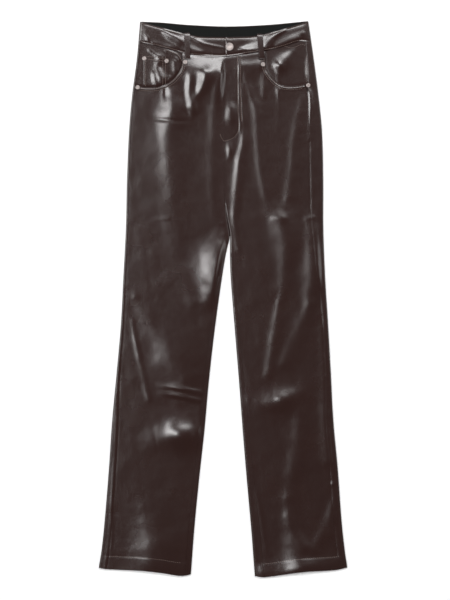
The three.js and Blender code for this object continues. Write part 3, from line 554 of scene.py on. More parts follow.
@dataclass(frozen=True)
class Cut:
    """The garment's outline and seams, seen from above, in mm, as the solids have them.

    Attributes:
        crotch: the y of the crotch.
        hem: the y of the hems, before each follows its own line.
        hem_ease: how far above the hem the rows begin to follow that line.
        lowest: below this y the inner edges keep their x.
        first_row: the y of a leg's first straight row.
        band_height: the waistband's height.
        seam_gap: the gap between two pieces at a seam.
        fold_radius: the radius of the folds at a leg's sides.
        side_seam: the x at which the waistband's seam meets the right side.
        outer, inner: x of a leg's two edges, by y.
        outseam, inseam: how far each seam lies in from its edge, by y.
        hems: y of each hem, by x.
        mouths: y of each pocket mouth, by x.
        mouth_top: x of each mouth's upper end.
        front_top, back_top: y of the waistband's top edge in front and behind, by x.
        front_seam: y of the waistband's seam in front, by x.
    """

    crotch: float = 122.3
    hem: float = -532.0
    hem_ease: float = 90.0
    lowest: float = -543.7
    first_row: float = 402.0
    band_height: float = 37.6
    seam_gap: float = 0.3
    fold_radius: float = 2.4
    side_seam: float = -162.0
    outer: dict[Side, Curve] = by_side(
        Curve((541.9, -161.7), (466.4, -168.3), (396.2, -177.6), (326.0, -183.5), (232.4, -187.4),
              (138.8, -189.5), (45.2, -194.4), (-48.4, -199.3), (-142.0, -207.5), (-235.6, -216.3),
              (-329.2, -222.7), (-422.8, -230.3), (-493.0, -237.1), (-524.2, -241.6)),
        Curve((541.9, 165.9), (466.4, 176.9), (396.2, 186.2), (326.0, 193.1), (232.4, 195.4),
              (138.8, 195.6), (45.2, 199.1), (-48.4, 204.9), (-142.0, 210.2), (-235.6, 215.1),
              (-329.2, 223.7), (-422.8, 230.5), (-493.0, 237.3), (-524.2, 241.4)))
    inner: dict[Side, Curve] = by_side(
        Curve((541.9, 1.9), (466.4, 1.9), (308.5, 1.9), (205.1, 2.8), (164.2, 6.6), (122.3, 12.8),
              (103.7, 9.0), (80.3, 4.1), (45.2, -1.6), (-1.6, -8.4), (-71.8, -17.7),
              (-165.4, -28.1), (-259.0, -36.5), (-352.6, -46.8), (-446.2, -55.8), (-541.7, -63.4)),
        Curve((541.9, 2.3), (466.4, 2.3), (308.5, 2.3), (205.1, 3.2), (164.2, 7.0), (122.3, 13.4),
              (103.7, 13.4), (80.3, 13.4), (45.2, 14.6), (-1.6, 18.1), (-71.8, 23.8),
              (-165.4, 31.4), (-259.0, 38.4), (-352.6, 46.2), (-446.2, 54.6), (-541.7, 62.6)))
    outseam: dict[Side, Curve] = by_side(
        Curve((541.9, 4.2), (466.4, 4.2), (404.0, 4.0), (326.0, 4.0), (185.6, 4.0), (95.9, 4.8),
              (-21.1, 5.9), (-157.6, 7.8), (-255.1, 13.0), (-541.7, 15.6)),
        Curve((541.9, 9.8), (466.4, 13.6), (404.0, 19.5), (326.0, 25.0), (185.6, 25.0),
              (95.9, 19.5), (-21.1, 11.8), (-157.6, 12.2), (-255.1, 15.6), (-541.7, 15.6)))
    inseam: dict[Side, Curve] = by_side(
        Curve((541.9, 0), (205.1, 0), (180, -1.2), (150, -2.8), (122.3, -4.4), (110, -3.6),
              (96, -1.5), (84, 0), (60, 3.0), (-1.6, 6.5), (-165.4, 7.5), (-352.6, 8.5),
              (-541.7, 9.5)),
        Curve((541.9, 0), (205.1, 0), (180, -1.2), (150, -2.8), (122.3, -4.4), (110, -3.6),
              (96, -1.5), (84, 0), (60, 3.0), (-1.6, 6.5), (-165.4, 8.0), (-352.6, 12.0),
              (-541.7, 17.0)))
    hems: dict[Side, Curve] = by_side(
        Curve((-241.6, -523.8), (-230.3, -526.1), (-158.1, -529.6), (-119.1, -533.9),
              (-86.6, -539.2), (-72.3, -538.6), (-63.0, -535.9)),
        Curve((62.2, -539.8), (78.8, -542.1), (153.9, -532.0), (218.2, -528.1), (241.2, -523.4)))
    mouths: dict[Side, Curve] = by_side(
        Curve((-79.6, 456.5), (-84.0, 445.0), (-94.6, 431.1), (-106.9, 421.2), (-119.3, 416.1),
              (-131.8, 412.8), (-156.6, 413.2), (-175.0, 416.0)),
        Curve((81.7, 456.5), (85.6, 445.0), (94.4, 432.3), (106.7, 421.2), (119.1, 415.8),
              (137.9, 415.0), (161.5, 418.2), (176.0, 418.8)))
    mouth_top: dict[Side, float] = by_side(-79.6, 81.7)
    front_top: Curve = Curve(
        (-161.7, 540.5), (-119.3, 529.2), (-72.2, 516.9), (-45.0, 511.9), (2.5, 510.7),
        (22.0, 510.7), (63.2, 513.2), (110.4, 524.4), (164.6, 540.5))
    front_seam: Curve = Curve(
        (-162.0, 500.8), (-131.8, 494.5), (-94.6, 484.6), (-64.5, 477.2), (-32.4, 474.6),
        (2.5, 473.4), (38.4, 477.8), (83.1, 484.6), (119.1, 493.2), (148.0, 502.5), (167.5, 501.8))
    back_top: Curve = Curve(
        (-161.7, 541.1), (-119.3, 539.2), (-69.6, 534.9), (8.0, 531.8), (87.6, 534.9),
        (164.6, 542.0))

    def inner_edge(self, side: Side, y: Number) -> Array:
        """Where a leg's inner edge, or above the crotch the centre seam, is."""
        return self.inner[side](np.maximum(y, self.lowest))

    def outseam_x(self, side: Side, y: Number) -> Array:
        """Where the outseam is, on top."""
        return self.outer[side](y) - side.value * self.outseam[side](y)

    def width(self, side: Side, y: Number) -> Array:
        """How wide a leg lies."""
        return np.abs(self.outer[side](y) - self.inner_edge(side, y))

    def is_left(self, x: Array, y: Array) -> Array:
        """Whether points lie on the wearer's left half."""
        return x >= (self.inner_edge(Side.RIGHT, y) + self.inner_edge(Side.LEFT, y)) / 2

    def hemmed(self, side: Side, x: Number, y: Number) -> Array:
        """Turns a row of a leg into its true y, so that the last row follows the hem."""
        drop = self.hems[side](x) - self.hem
        return y + drop * ease((self.hem + self.hem_ease - y) / self.hem_ease)

    def side_top(self) -> float:
        """The y at which the waistband's seam meets the side."""
        return float(self.front_seam(self.side_seam))

    def mouth_path(self, side: Side) -> Path:
        """Draws a pocket mouth's edge.

        Args:
            side: which pocket.

        Returns:
            The line from the waistband's seam down and out to the outseam.
        """
        top = self.mouth_top[side]
        seam = float(self.front_seam(top))
        # Closer together where the mouth turns from the seam
        out_from_top = (2, 5, 9, 15, 21, 27, 33, 40, 50, 62, 76, 88)
        xs = top + side.value * np.array(out_from_top, float)
        xs = xs[np.abs(xs) < abs(self.outseam_x(side, 412.0))]
        rows = [(top - side.value, seam), (top - side.value * 0.6, seam - 9),
                (top + side.value * 0.2, seam - 20)]
        return Path.through(*rows, *zip(xs, self.mouths[side](xs)))


CUT = Cut()


@dataclass(frozen=True)
class Undulation:
    """The slight unevenness of supple coated cloth, from waves of seeded direction and length.

    Attributes:
        height: of the longest wave, in mm.
        shortest, longest: wave lengths in mm.
        waves: how many there are.
        sway, sway_length: how much the waves' crests bend, and over how many mm.
        seed: of the random numbers.
    """

    height: float = 0.045
    shortest: float = 16.0
    longest: float = 70.0
    waves: int = 14
    sway: float = 0.8
    sway_length: float = 31.0
    seed: int = 5

    def __call__(self, x: Array, y: Array) -> Array:
        """Adds the waves up.

        Args:
            x, y: arrays of any one shape, in mm.

        Returns:
            How much higher they make the cloth at each point, in mm.
        """
        rng = np.random.default_rng(self.seed)
        total = np.zeros(np.shape(x))
        for length in np.geomspace(self.shortest, self.longest, self.waves):
            angle, phase = rng.uniform(0, math.pi), rng.uniform(0, 2 * math.pi)
            along = (x * math.cos(angle) + y * math.sin(angle)) * 2 * math.pi / length
            bend = self.sway * np.sin(y / self.sway_length + phase)
            total += length / self.longest * np.sin(along + phase + bend)
        return total * self.height


@dataclass
class LaidCloth:
    """The height of the front cloth over the surface it lies on, in mm.

    Attributes:
        crown: how much higher the middle of a leg lies than its folds. It is less than the
            solids' 1.2, so that the flats mirror no light and stay dark.
        crown_reach: how far in from the folds the crown rises.
        fold_fade: how far in from the folds the creases rise.
        hem_depth, hem_relief: the hem's turning, and how much it raises the cloth, which is
            less than in the solids for the same reason.
        hem_sink: how far its stitches sink into the cloth.
        hem_groove, outseam_groove, inseam_groove, waist_groove, placket_groove: what the
            sewing pulls down.
        mouth_rows, mouth_groove: the two rows of stitches along a pocket mouth.
        mouth_roll, roll_inset: how high its edge rolls, how far that spreads, and where.
        fly_width, fly_length, fly_fade, placket_step: the placket, and how high it stands.
        placket_rows: its two rows of stitches, down from the waistband and round to the edge.
    """

    crown: float = 0.4
    crown_reach: float = 60.0
    fold_fade: float = 15.0
    hem_depth: float = 28.0
    hem_relief: float = 0.25
    hem_sink: float = 0.45
    hem_groove: Groove = Groove(0.04, 1.4)
    outseam_groove: Groove = Groove(0.08, 2.2)
    inseam_groove: Groove = Groove(0.1, 2.0)
    waist_groove: Groove = Groove(0.4, 3.0)
    placket_groove: Groove = Groove(0.2, 1.2)
    mouth_rows: tuple[float, float] = (2.0, 6.2)
    mouth_groove: Groove = Groove(0.15, 1.0)
    mouth_roll: Groove = Groove(-0.5, 4.0)
    roll_inset: float = 3.4
    fly_width: float = 33.0
    fly_length: float = 164.0
    fly_fade: float = 36.0
    placket_step: float = 0.5
    placket_rows: tuple[Path, Path] = (
        Path.through((28.1, 472), (28.3, 420), (28.9, 372), (30.2, 345), (30, 330), (26.3, 321.2),
                     (19.3, 314.3), (11.5, 310.4), (4.2, 308.7)),
        Path.through((33.5, 472), (33.7, 420), (34.9, 372), (36.2, 348)))
    undulation: Undulation = Undulation()
    mouths: dict[Side, Path] = field(
        default_factory=lambda: {side: CUT.mouth_path(side) for side in Side})

    def clear_of_edges(self, x: Array, y: Array, reach: float) -> Array:
        """How clear points are of a leg's folded edges.

        Args:
            x, y: arrays of any one shape, in mm.
            reach: how far in from an edge a point is clear of it.

        Returns:
            From 0 at the edge to 1.
        """
        left = CUT.is_left(x, y)
        outer = np.where(left, CUT.outer[Side.LEFT](y), CUT.outer[Side.RIGHT](y))
        inner = np.where(left, CUT.inner_edge(Side.LEFT, y), CUT.inner_edge(Side.RIGHT, y))
        # Only from here down do the two legs part, so that their inner edges are folds.
        parting = 300.0
        apart = ease((parting - y) / (parting - CUT.crotch))
        inwards = mix(1, ease(np.abs(inner - x) / reach), apart)
        return ease(np.abs(outer - x) / reach) * inwards

    def smooth(self, x: Array, y: Array) -> Array:
        """The height without creases."""
        return 2 * CUT.fold_radius + self.crown * self.clear_of_edges(x, y, self.crown_reach)

    def above_hem(self, x: Array, y: Array) -> Array:
        """How far points are above the hem."""
        left = CUT.is_left(x, y)
        return y - np.where(left, CUT.hems[Side.LEFT](x), CUT.hems[Side.RIGHT](x))

    def creased(self, x: Array, y: Array) -> Array:
        """The height with creases and hems, which fronts and backs share.

        Args:
            x, y: arrays that go together, in mm.

        Returns:
            The height at each point.
        """
        x, y = np.broadcast_arrays(np.asarray(x, float), np.asarray(y, float))
        up = self.above_hem(x, y)
        relief = self.hem_relief * ease((self.hem_depth - up) / 6)
        relief = relief - self.hem_groove.at(up - self.hem_depth + 2.5)
        folds = sum(crease.height(x, y) for crease in FRONT_CREASES) + self.undulation(x, y)
        return self.smooth(x, y) + (folds + relief) * self.clear_of_edges(x, y, self.fold_fade)

    def front(self, x: Array, y: Array) -> Array:
        """The front panels' height: their seams, pocket mouths and placket too.

        Args:
            x, y: arrays that go together, in mm.

        Returns:
            The height at each point.
        """
        x, y = np.broadcast_arrays(np.asarray(x, float), np.asarray(y, float))
        height = self.creased(x, y)
        left = CUT.is_left(x, y)
        for side in Side:
            own = left == (side is Side.LEFT)
            mouth, out = self.mouths[side], side.value
            # The front lies to this side of its pocket mouth.
            pulled = self.mouth_roll.along(mouth, x, y, -out * self.roll_inset)
            for row in self.mouth_rows:
                pulled += self.mouth_groove.along(mouth, x, y, -out * row)
            pulled += self.outseam_groove.at(CUT.outseam_x(side, y) - x)
            inseam = CUT.inner_edge(side, y) + out * np.maximum(CUT.inseam[side](y), 0)
            pulled += (y < CUT.crotch) * self.inseam_groove.at(inseam - x)
            height -= own * pulled
        height -= self.waist_groove.at(CUT.front_seam(x) - y)
        fly = x - CUT.inner_edge(Side.LEFT, y)
        low = float(CUT.front_seam(0)) - self.fly_length
        on_placket = ease((y - low) / self.fly_fade) * ease((self.fly_width + 3 - fly) / 6)
        height += left * self.placket_step * on_placket
        for row in self.placket_rows:
            height -= left * self.placket_groove.along(row, x, y)
        return height

    def in_hem(self, x: Array, y: Array) -> Array:
        """How high the hems' stitches lie, which sink into the cloth more than others."""
        return self.front(x, y) - self.hem_sink


CLOTH = LaidCloth()


@dataclass(frozen=True)
class FlatCut:
    """What a piece of cloth was cut to, in metres and square metres."""

    width: float
    length: float
    area: float


def row_normals(grid: Array) -> Array:
    """Which way is out at each point of a grid whose rows run across the body.

    Args:
        grid: points by row and column, in mm.

    Returns:
        Unit vectors square to each row, to the left of the way it runs.
    """
    run = np.gradient(grid, axis=1)
    normal = np.stack([-run[..., 2], np.zeros(run.shape[:2]), run[..., 0]], axis=-1)
    return normal / np.maximum(np.linalg.norm(normal, axis=-1), 1e-9)[..., None]


@dataclass(frozen=True)
class ClothPiece:
    """One piece of cloth: a closed wall with rounded edges, laid flat.

    Attributes:
        name: the piece's name.
        node: the solid that it stands for.
        wall: its thickness in mm.
        cut: what it was cut to.
        finish: its material.
        slot: the record's material slot.
        bulge: how far its edges round outwards, as a share of the wall.
        sharp_from: edges that bend more than this, in degrees, are shaded sharp.
    """

    name: str
    node: str
    wall: float
    cut: FlatCut
    finish: bpy.types.Material
    slot: str = "faux_leather"
    bulge: ClassVar[float] = 0.22
    sharp_from: ClassVar[float] = 32.0

    def points(self, outer: Array, normals: Array, ring: Array) -> Array:
        """Lays out the wall's points.

        Args:
            outer: points of its outer side by row and column, in mm.
            normals: which way is out, at each point.
            ring: the grid's border, once round.

        Returns:
            The outer side, the inner side and the two rows of the rounded edge.
        """
        flat_out = outer.reshape(-1, 3)
        flat_in = (outer - normals * self.wall).reshape(-1, 3)
        run = np.roll(flat_out[ring], -1, axis=0) - np.roll(flat_out[ring], 1, axis=0)
        away = np.cross(run, normals.reshape(-1, 3)[ring])
        away /= np.maximum(np.linalg.norm(away, axis=1), 1e-9)[:, None]
        inside = np.mean(flat_out, axis=0) - flat_out[ring]
        if (away * inside).sum() > 0:
            away = -away
        rim = [mix(flat_out[ring], flat_in[ring], t) + away * self.wall * self.bulge
               for t in (0.25, 0.75)]
        return np.concatenate([flat_out, flat_in, *rim])

    def faces(self, outer: Array, normals: Array, index: Array, ring: Array) -> Array:
        """Joins the wall's points into four-sided faces that all point outwards.

        Args:
            outer, normals: as for its points.
            index: the number of each point of the outer side, by row and column.
            ring: the grid's border, once round.

        Returns:
            Four point numbers a row.
        """
        rows, columns = index.shape
        corners = [index[:-1, :-1], index[1:, :-1], index[1:, 1:], index[:-1, 1:]]
        quads = np.stack(corners, axis=-1).reshape(-1, 4)
        edge = 2 * index.size + np.arange(len(ring))
        rings = [ring, edge, edge + len(ring), ring + index.size]
        parts = [quads, quads[:, ::-1] + index.size]
        for a, b in zip(rings, rings[1:]):
            parts.append(np.stack([a, b, np.roll(b, -1), np.roll(a, -1)], axis=-1))
        joined = np.concatenate(parts)
        # The grid may wind either way, so the faces are turned to agree with the normals.
        middle = (rows // 2, columns // 2)
        down = outer[middle[0] + 1, middle[1]] - outer[middle]
        across = outer[middle[0], middle[1] + 1] - outer[middle]
        return joined[:, ::-1] if np.dot(np.cross(down, across), normals[middle]) < 0 else joined

    def sew(self, outer: Array, normals: Array | None = None) -> None:
        """Args:
            outer: points of its outer side by row and column, in mm.
            normals: which way is out at each point; straight up if none are given.
        """
        if normals is None:
            normals = np.zeros_like(outer) + (0, 0, 1)
        index = np.arange(outer.shape[0] * outer.shape[1]).reshape(outer.shape[:2])
        ring = np.concatenate([index[0, :-1], index[:-1, -1], index[-1, :0:-1], index[:0:-1, 0]])
        faces = self.faces(outer, normals, index, ring)
        mesh = smooth_mesh(self.name, self.points(outer, normals, ring), faces.tolist(),
                           self.finish, self.sharp_from)
        piece = put_in_scene(self.name, mesh)
        dress(piece, self.slot, [self.node])
        log.info("%s: %d faces", self.name, len(faces))


def new_material(name: str) -> tuple[bpy.types.Material, bpy.types.Node, bpy.types.NodeSocket]:
    """Starts a procedural material.

    Args:
        name: its name.

    Returns:
        The material, its shader, and the object coordinates that its patterns read.
    """
    made = bpy.data.materials.new(name)
    made.use_nodes = True
    shader = made.node_tree.nodes["Principled BSDF"]
    return made, shader, add_node(made.node_tree, "ShaderNodeTexCoord").outputs["Object"]


@dataclass(frozen=True)
class FauxLeather:
    """Polyurethane coat on a knitted back, pressed with a fine grain.

    To the eye it is a smooth glossy skin: dark brown where it mirrors nothing, and bright, with
    soft edges, where a crease turns towards a light.
    """

    name: str = "faux_leather_coated"
    colour: str = "#2c1a17"
    colour_worn: str = "#311e1a"
    roughness: float = 0.21
    # The pressed grain is 0.5 mm; it is drawn 1.6 mm wide, because finer grain doesn't show.
    grain_mm: float = 1.6
    crinkle_mm: float = 7.0

    def material(self) -> bpy.types.Material:
        """Makes the material.

        Returns:
            The material, with its grain, its crinkle and its uneven tint and gloss.
        """
        made, shader, place = new_material(self.name)
        tree = made.node_tree
        tint = add_node(tree, "ShaderNodeTexNoise", {},
                        {"Vector": place, "Scale": 14.0, "Detail": 3.0})
        shade = add_node(tree, "ShaderNodeMix", {"data_type": "RGBA"},
                         {0: tint.outputs["Fac"], 6: linear(self.colour),
                          7: linear(self.colour_worn)})
        grain = add_node(tree, "ShaderNodeTexVoronoi", {"feature": "SMOOTH_F1"},
                         {"Vector": place, "Scale": 1 / (self.grain_mm * MM), "Smoothness": 0.6})
        crinkle = add_node(tree, "ShaderNodeTexNoise", {},
                           {"Vector": place, "Scale": 1 / (self.crinkle_mm * MM), "Detail": 3.0,
                            "Roughness": 0.55})
        coarse = add_node(tree, "ShaderNodeBump", {},
                          {"Height": crinkle.outputs["Fac"], "Strength": 0.5,
                           "Distance": 0.00011})
        fine = add_node(tree, "ShaderNodeBump", {},
                        {"Height": grain.outputs["Distance"], "Strength": 0.35,
                         "Distance": 0.00015, "Normal": coarse.outputs["Normal"]})
        uneven = add_node(tree, "ShaderNodeMapRange", {},
                          {"Value": crinkle.outputs["Fac"], "From Min": 0.3, "From Max": 0.7,
                           "To Min": self.roughness - 0.01, "To Max": self.roughness + 0.015})
        fill_sockets(tree, shader,
                     {"Base Color": shade.outputs[2], "Roughness": uneven.outputs[0],
                      "Normal": fine.outputs["Normal"], "IOR": 1.5, "Coat Weight": 0.2,
                      "Coat Roughness": 0.1})
        return made


@dataclass(frozen=True)
class WovenCloth:
    """Plain woven cotton or tape: matt, with a thread that shows close by."""

    name: str
    colour: str
    # Real threads are 0.3 mm apart; they are drawn 0.8 mm apart, because finer ones don't show.
    thread_mm: float = 0.8

    def material(self) -> bpy.types.Material:
        """Makes the material.

        Returns:
            The material, darker and lower between its threads.
        """
        made, shader, place = new_material(self.name)
        tree = made.node_tree
        # A wave texture repeats every 0.314 / Scale.
        threads = [add_node(tree, "ShaderNodeTexWave", {"bands_direction": way},
                            {"Vector": place, "Scale": 0.314 / (self.thread_mm * MM),
                             "Distortion": 0.6})
                   for way in ("X", "Y")]
        weave = add_node(tree, "ShaderNodeMath", {"operation": "MULTIPLY"},
                         {0: threads[0].outputs["Fac"], 1: threads[1].outputs["Fac"]})
        thread = linear(self.colour)
        between = tuple(0.7 * part for part in thread[:3]) + (1,)
        shade = add_node(tree, "ShaderNodeMix", {"data_type": "RGBA"},
                         {0: weave.outputs[0], 6: between, 7: thread})
        bump = add_node(tree, "ShaderNodeBump", {},
                        {"Height": weave.outputs[0], "Strength": 0.4, "Distance": 0.0002})
        fill_sockets(tree, shader,
                     {"Base Color": shade.outputs[2], "Normal": bump.outputs["Normal"],
                      "Roughness": 0.72, "Specular IOR Level": 0.2})
        return made


@dataclass(frozen=True)
class SewingThread:
    """Twisted polyester thread in the cloth's own brown, with a painted highlight along its twist.
    """

    name: str = "polyester_thread"
    # Both colours are lighter than the thread's own brown, as painted glints; the second is the
    # painted highlight on the twist's bands.
    colour: str = "#75655e"
    colour_painted_highlight: str = "#87776f"
    # The twist repeats every 0.7 mm.
    twist_scale: float = 450.0

    def material(self) -> bpy.types.Material:
        """Makes the material.

        Returns:
            The material, with its twist.
        """
        made, shader, place = new_material(self.name)
        tree = made.node_tree
        twist = add_node(tree, "ShaderNodeTexWave", {"bands_direction": "DIAGONAL"},
                         {"Vector": place, "Scale": self.twist_scale})
        bump = add_node(tree, "ShaderNodeBump", {},
                        {"Height": twist.outputs["Fac"], "Strength": 0.5, "Distance": 0.0001})
        # Painted highlight: the twist's bands mix in the lighter colour.
        shade = add_node(tree, "ShaderNodeMix", {"data_type": "RGBA"},
                         {0: twist.outputs["Fac"], 6: linear(self.colour_painted_highlight),
                          7: linear(self.colour)})
        fill_sockets(tree, shader,
                     {"Base Color": shade.outputs[2], "Normal": bump.outputs["Normal"],
                      "Roughness": 0.38})
        return made


@dataclass(frozen=True)
class SatinSilver:
    """Brass plated with satin nickel: pressed, tumbled, and softly bright all over."""

    name: str = "satin_nickel_plate"
    colour: str = "#aca29f"
    # Real pits are under 0.1 mm apart; they are drawn 0.55 mm apart, to show.
    pit_scale: float = 1800.0

    def material(self) -> bpy.types.Material:
        """Makes the material.

        Returns:
            The material, with the fine pits that tumbling leaves.
        """
        made, shader, place = new_material(self.name)
        tree = made.node_tree
        pits = add_node(tree, "ShaderNodeTexNoise", {},
                        {"Vector": place, "Scale": self.pit_scale, "Detail": 2.0})
        bump = add_node(tree, "ShaderNodeBump", {},
                        {"Height": pits.outputs["Fac"], "Strength": 0.25, "Distance": 0.00008})
        rough = add_node(tree, "ShaderNodeMapRange", {},
                         {"Value": pits.outputs["Fac"], "To Min": 0.42, "To Max": 0.55})
        fill_sockets(tree, shader,
                     {"Normal": bump.outputs["Normal"], "Roughness": rough.outputs[0],
                      "Base Color": linear(self.colour), "Metallic": 1.0})
        return made


@dataclass(frozen=True)
class Wardrobe:
    """The materials, made once."""

    leather: bpy.types.Material
    facing: bpy.types.Material
    tape: bpy.types.Material
    thread: bpy.types.Material
    silver: bpy.types.Material


@dataclass
class Leg:
    """One leg from the waistband's seam to the hem: its front panel and the back folded round it.

    Attributes:
        side: which leg.
        looks: the materials.
        wall: the cloth's thickness in mm.
        row_step, column_step: the spacing of the points, in mm.
        fixed: columns this close to the inner edge keep their distance from it.
        front_rows, back_rows: how many rows lie above each panel's first straight one.
        half_gap: half the gap at a seam.
        allowance, allowance_ridge, seam_groove: how wide the outseam's allowance is, the ridge
            that it makes at its edge, and what its stitches pull down.
        front_cut, back_cut: what each panel was cut to.
    """

    side: Side
    looks: Wardrobe
    wall: float = 1.2
    row_step: float = 2.8
    column_step: float = 2.6
    fixed: float = 50.0
    front_rows: int = 30
    back_rows: int = 36
    half_gap: float = CUT.seam_gap / 2
    allowance: float = 4.0
    allowance_ridge: Groove = Groove(-0.25, 4.0)
    seam_groove: Groove = Groove(0.2, 2.2)
    front_cut: FlatCut = FlatCut(0.205, 1.02, 0.183)
    back_cut: FlatCut = FlatCut(0.245, 1.05, 0.215)

    def leg_rows(self) -> Array:
        """Rows from the pocket mouth to the hem, closer at the crotch and the hem's stitches."""
        return steps((CUT.first_row, 150, self.row_step), (150, 100, 1.8),
                     (100, CUT.hem + 31, self.row_step), (CUT.hem + 31, CUT.hem + 22, 0.9),
                     (CUT.hem + 22, CUT.hem + 4, 2.5), (CUT.hem + 4, CUT.hem, 0.8))

    def columns(self, width: float) -> Array:
        """Places the front's columns, closer at its edges and at the placket's stitches.

        Args:
            width: how wide the row is, in mm.

        Returns:
            Their distances from the leg's inner edge.
        """
        placket = ((5, 26, 2.6), (26, 38, 0.8)) if self.side is Side.LEFT else ((5, 38, 2.6),)
        return steps((0, 5, 0.75), *placket, (38, width - 5, self.column_step),
                     (width - 5, width, 0.8))

    def top(self, across: Array, y: Array, height: Height) -> tuple[Array, Array, Array]:
        """Finds points on top of the leg.

        Args:
            across: how far out from its inner edge each is, in mm.
            y: the row of each.
            height: the cloth's height.

        Returns:
            x, true y and z of each.
        """
        x = CUT.inner_edge(self.side, y) + self.side.value * across
        true_y = CUT.hemmed(self.side, x, y)
        return x, true_y, height(x, true_y)

    def fold_in(self, y: Array) -> tuple[Array, Array]:
        """Finds the inseam and the inner fold's top.

        Args:
            y: the rows.

        Returns:
            The inseam's place, and how far in the fold's top lies, for each row.
        """
        opened = y > CUT.crotch
        seam = CUT.inseam[self.side](y)
        seam = np.where(opened, np.minimum(seam, 0), seam)
        turned = np.minimum(-seam / CUT.fold_radius, math.pi / 2)
        closed_in = np.full_like(seam, CUT.fold_radius)
        opened_in = CUT.fold_radius * np.sin(np.maximum(turned, 0))
        return seam, np.where(opened, opened_in, closed_in)

    def round_edge(self, p: Array, y: Array, edge: Array, out: int, height: Height) -> Array:
        """Points on top of a fold, and down it where p is under 0.

        Args:
            p: the way along the cloth from the fold's top, for each point.
            y: the row of each point.
            edge: how far across the fold's top is.
            out: 1 if the leg lies outwards of the fold, and -1 if inwards.
            height: the cloth's height.

        Returns:
            x, y and z of each point, in mm.
        """
        radius = CUT.fold_radius
        x, true_y, z = self.top(edge + out * np.maximum(p, 0), y + 0 * p, height)
        angle = np.maximum(-p, 0) / radius
        turned_x = x - self.side.value * out * radius * np.sin(angle)
        turned_z = z / 2 * (1 + np.cos(angle))
        down = p < 0
        return np.stack([np.where(down, turned_x, x), true_y, np.where(down, turned_z, z)],
                        axis=-1)

    def stretched(self, base: Array, share: Number) -> Array:
        """Columns stretched by a share, but for those that keep their distance."""
        return np.where(base <= self.fixed, base, self.fixed + (base - self.fixed) * share)

    def front_grid(self) -> Array:
        """Lays out the outer side of the front panel.

        Returns:
            Points by row and column, in mm.
        """
        side = self.side
        y = self.leg_rows()[:, None]
        seam, fold = self.fold_in(y)
        start = seam + np.where(seam == 0, 0, self.half_gap)
        width = CUT.width(side, y) - CUT.outseam[side](y) - self.half_gap
        spans = (width - fold) - start
        base = self.columns(float(spans[0, 0]))
        p = start + self.stretched(base, (spans - self.fixed) / (spans[0, 0] - self.fixed))
        leg = self.round_edge(p, y, fold, 1, CLOTH.front)
        # Above the first row the columns run on up to the waistband's seam and the pocket mouth.
        mouth = CLOTH.mouths[side].points
        seam_x = np.linspace(float(CUT.inner_edge(side, 470)), mouth[0, 0], 60)
        seam_y = CUT.front_seam(seam_x) - CUT.seam_gap
        edge = Path(np.concatenate([np.stack([seam_x, seam_y], axis=1), mouth[1:]]))
        at = self.stretched(base, (edge.along[-1] - self.fixed) / (base[-1] - self.fixed))
        top = np.stack([np.interp(at, edge.along, edge.points[:, k]) for k in (0, 1)], axis=1)
        down = (np.arange(self.front_rows) / self.front_rows) ** 1.7
        upper = mix(top, leg[0, :, :2], down[:, None, None])
        height = CLOTH.front(upper[..., 0], upper[..., 1])
        return np.concatenate([np.concatenate([upper, height[..., None]], axis=2), leg])

    def underside(self, y: Array, start: float, count: int) -> Array:
        """Lays out the flat underside, up to where the outer fold begins.

        Args:
            y: the rows.
            start: how far out from the inner edge it begins, in mm.
            count: how many columns it has.

        Returns:
            Points by row and column, in mm.
        """
        end = CUT.width(self.side, y) - CUT.fold_radius
        x = CUT.inner_edge(self.side, y) + self.side.value * mix(start, end, shares(count))
        return np.stack([x, CUT.hemmed(self.side, x, y), 0 * x], axis=-1)

    def back_grid(self) -> Array:
        """Lays out the back panel: inseam, inner fold, underside, outer fold, outseam.

        Returns:
            Points of its outer side by row and column, in mm.
        """
        side, radius = self.side, CUT.fold_radius
        foot = -math.pi * radius
        down = np.arange(self.back_rows) / self.back_rows
        upper = mix(CUT.side_top(), CUT.first_row, down)
        y = np.concatenate([upper, self.leg_rows()])[:, None]
        seam, fold = self.fold_in(y)
        # Places under 0 are down a fold, and those over 0 on top are set closer together.
        first = seam - CUT.seam_gap
        w = mix(np.where(first > 0, first / 4, first), foot, shares(14))
        inner = self.round_edge(np.where(w > 0, 4 * w, w), y, fold, 1, CLOTH.creased)
        last = CUT.outseam[side](y) - radius - self.half_gap
        w = mix(foot, last / 3, np.linspace(0, 1, 21)[None, :])
        outer = self.round_edge(np.where(w > 0, 3 * w, w), y, CUT.width(side, y) - radius, -1,
                                self.back_height)
        closed = np.concatenate([inner, self.underside(y, radius, 24)], axis=1)
        # Above the crotch the underside runs on to the centre seam.
        opened = self.underside(y, 0, 38)
        grid = np.concatenate([np.where((y > CUT.crotch)[..., None], opened, closed), outer],
                              axis=1)
        # The top edge follows the waistband's seam, lower in front than behind.
        x, z = grid[:self.back_rows, :, 0], grid[:self.back_rows, :, 2]
        front, back = CUT.front_seam(x), CUT.back_top(x) - CUT.band_height
        top = mix(back, front, ease(z / (2 * radius))) - CUT.seam_gap
        grid[:self.back_rows, :, 1] = mix(top, CUT.first_row, down[:, None])
        return grid

    def back_height(self, x: Array, y: Array) -> Array:
        """Works out the back panel's height, with the ridge beside the outseam.

        Args:
            x, y: arrays that go together, in mm.

        Returns:
            The height at each point.
        """
        beside = np.abs(x - CUT.outseam_x(self.side, y))
        pulled = self.allowance_ridge.at(beside - self.allowance) + self.seam_groove.at(beside)
        return CLOTH.creased(x, y) - pulled

    def build(self) -> None:
        """Makes both panels."""
        word, out = self.side.word, self.side.value
        for part, cut, grid, way in (("front", self.front_cut, self.front_grid(), out),
                                     ("back", self.back_cut, self.back_grid(), -out)):
            piece = ClothPiece(f"{part}_{word}", f"{part}_{word}_leg", self.wall, cut,
                               self.looks.leather)
            piece.sew(grid, row_normals(grid) * way)


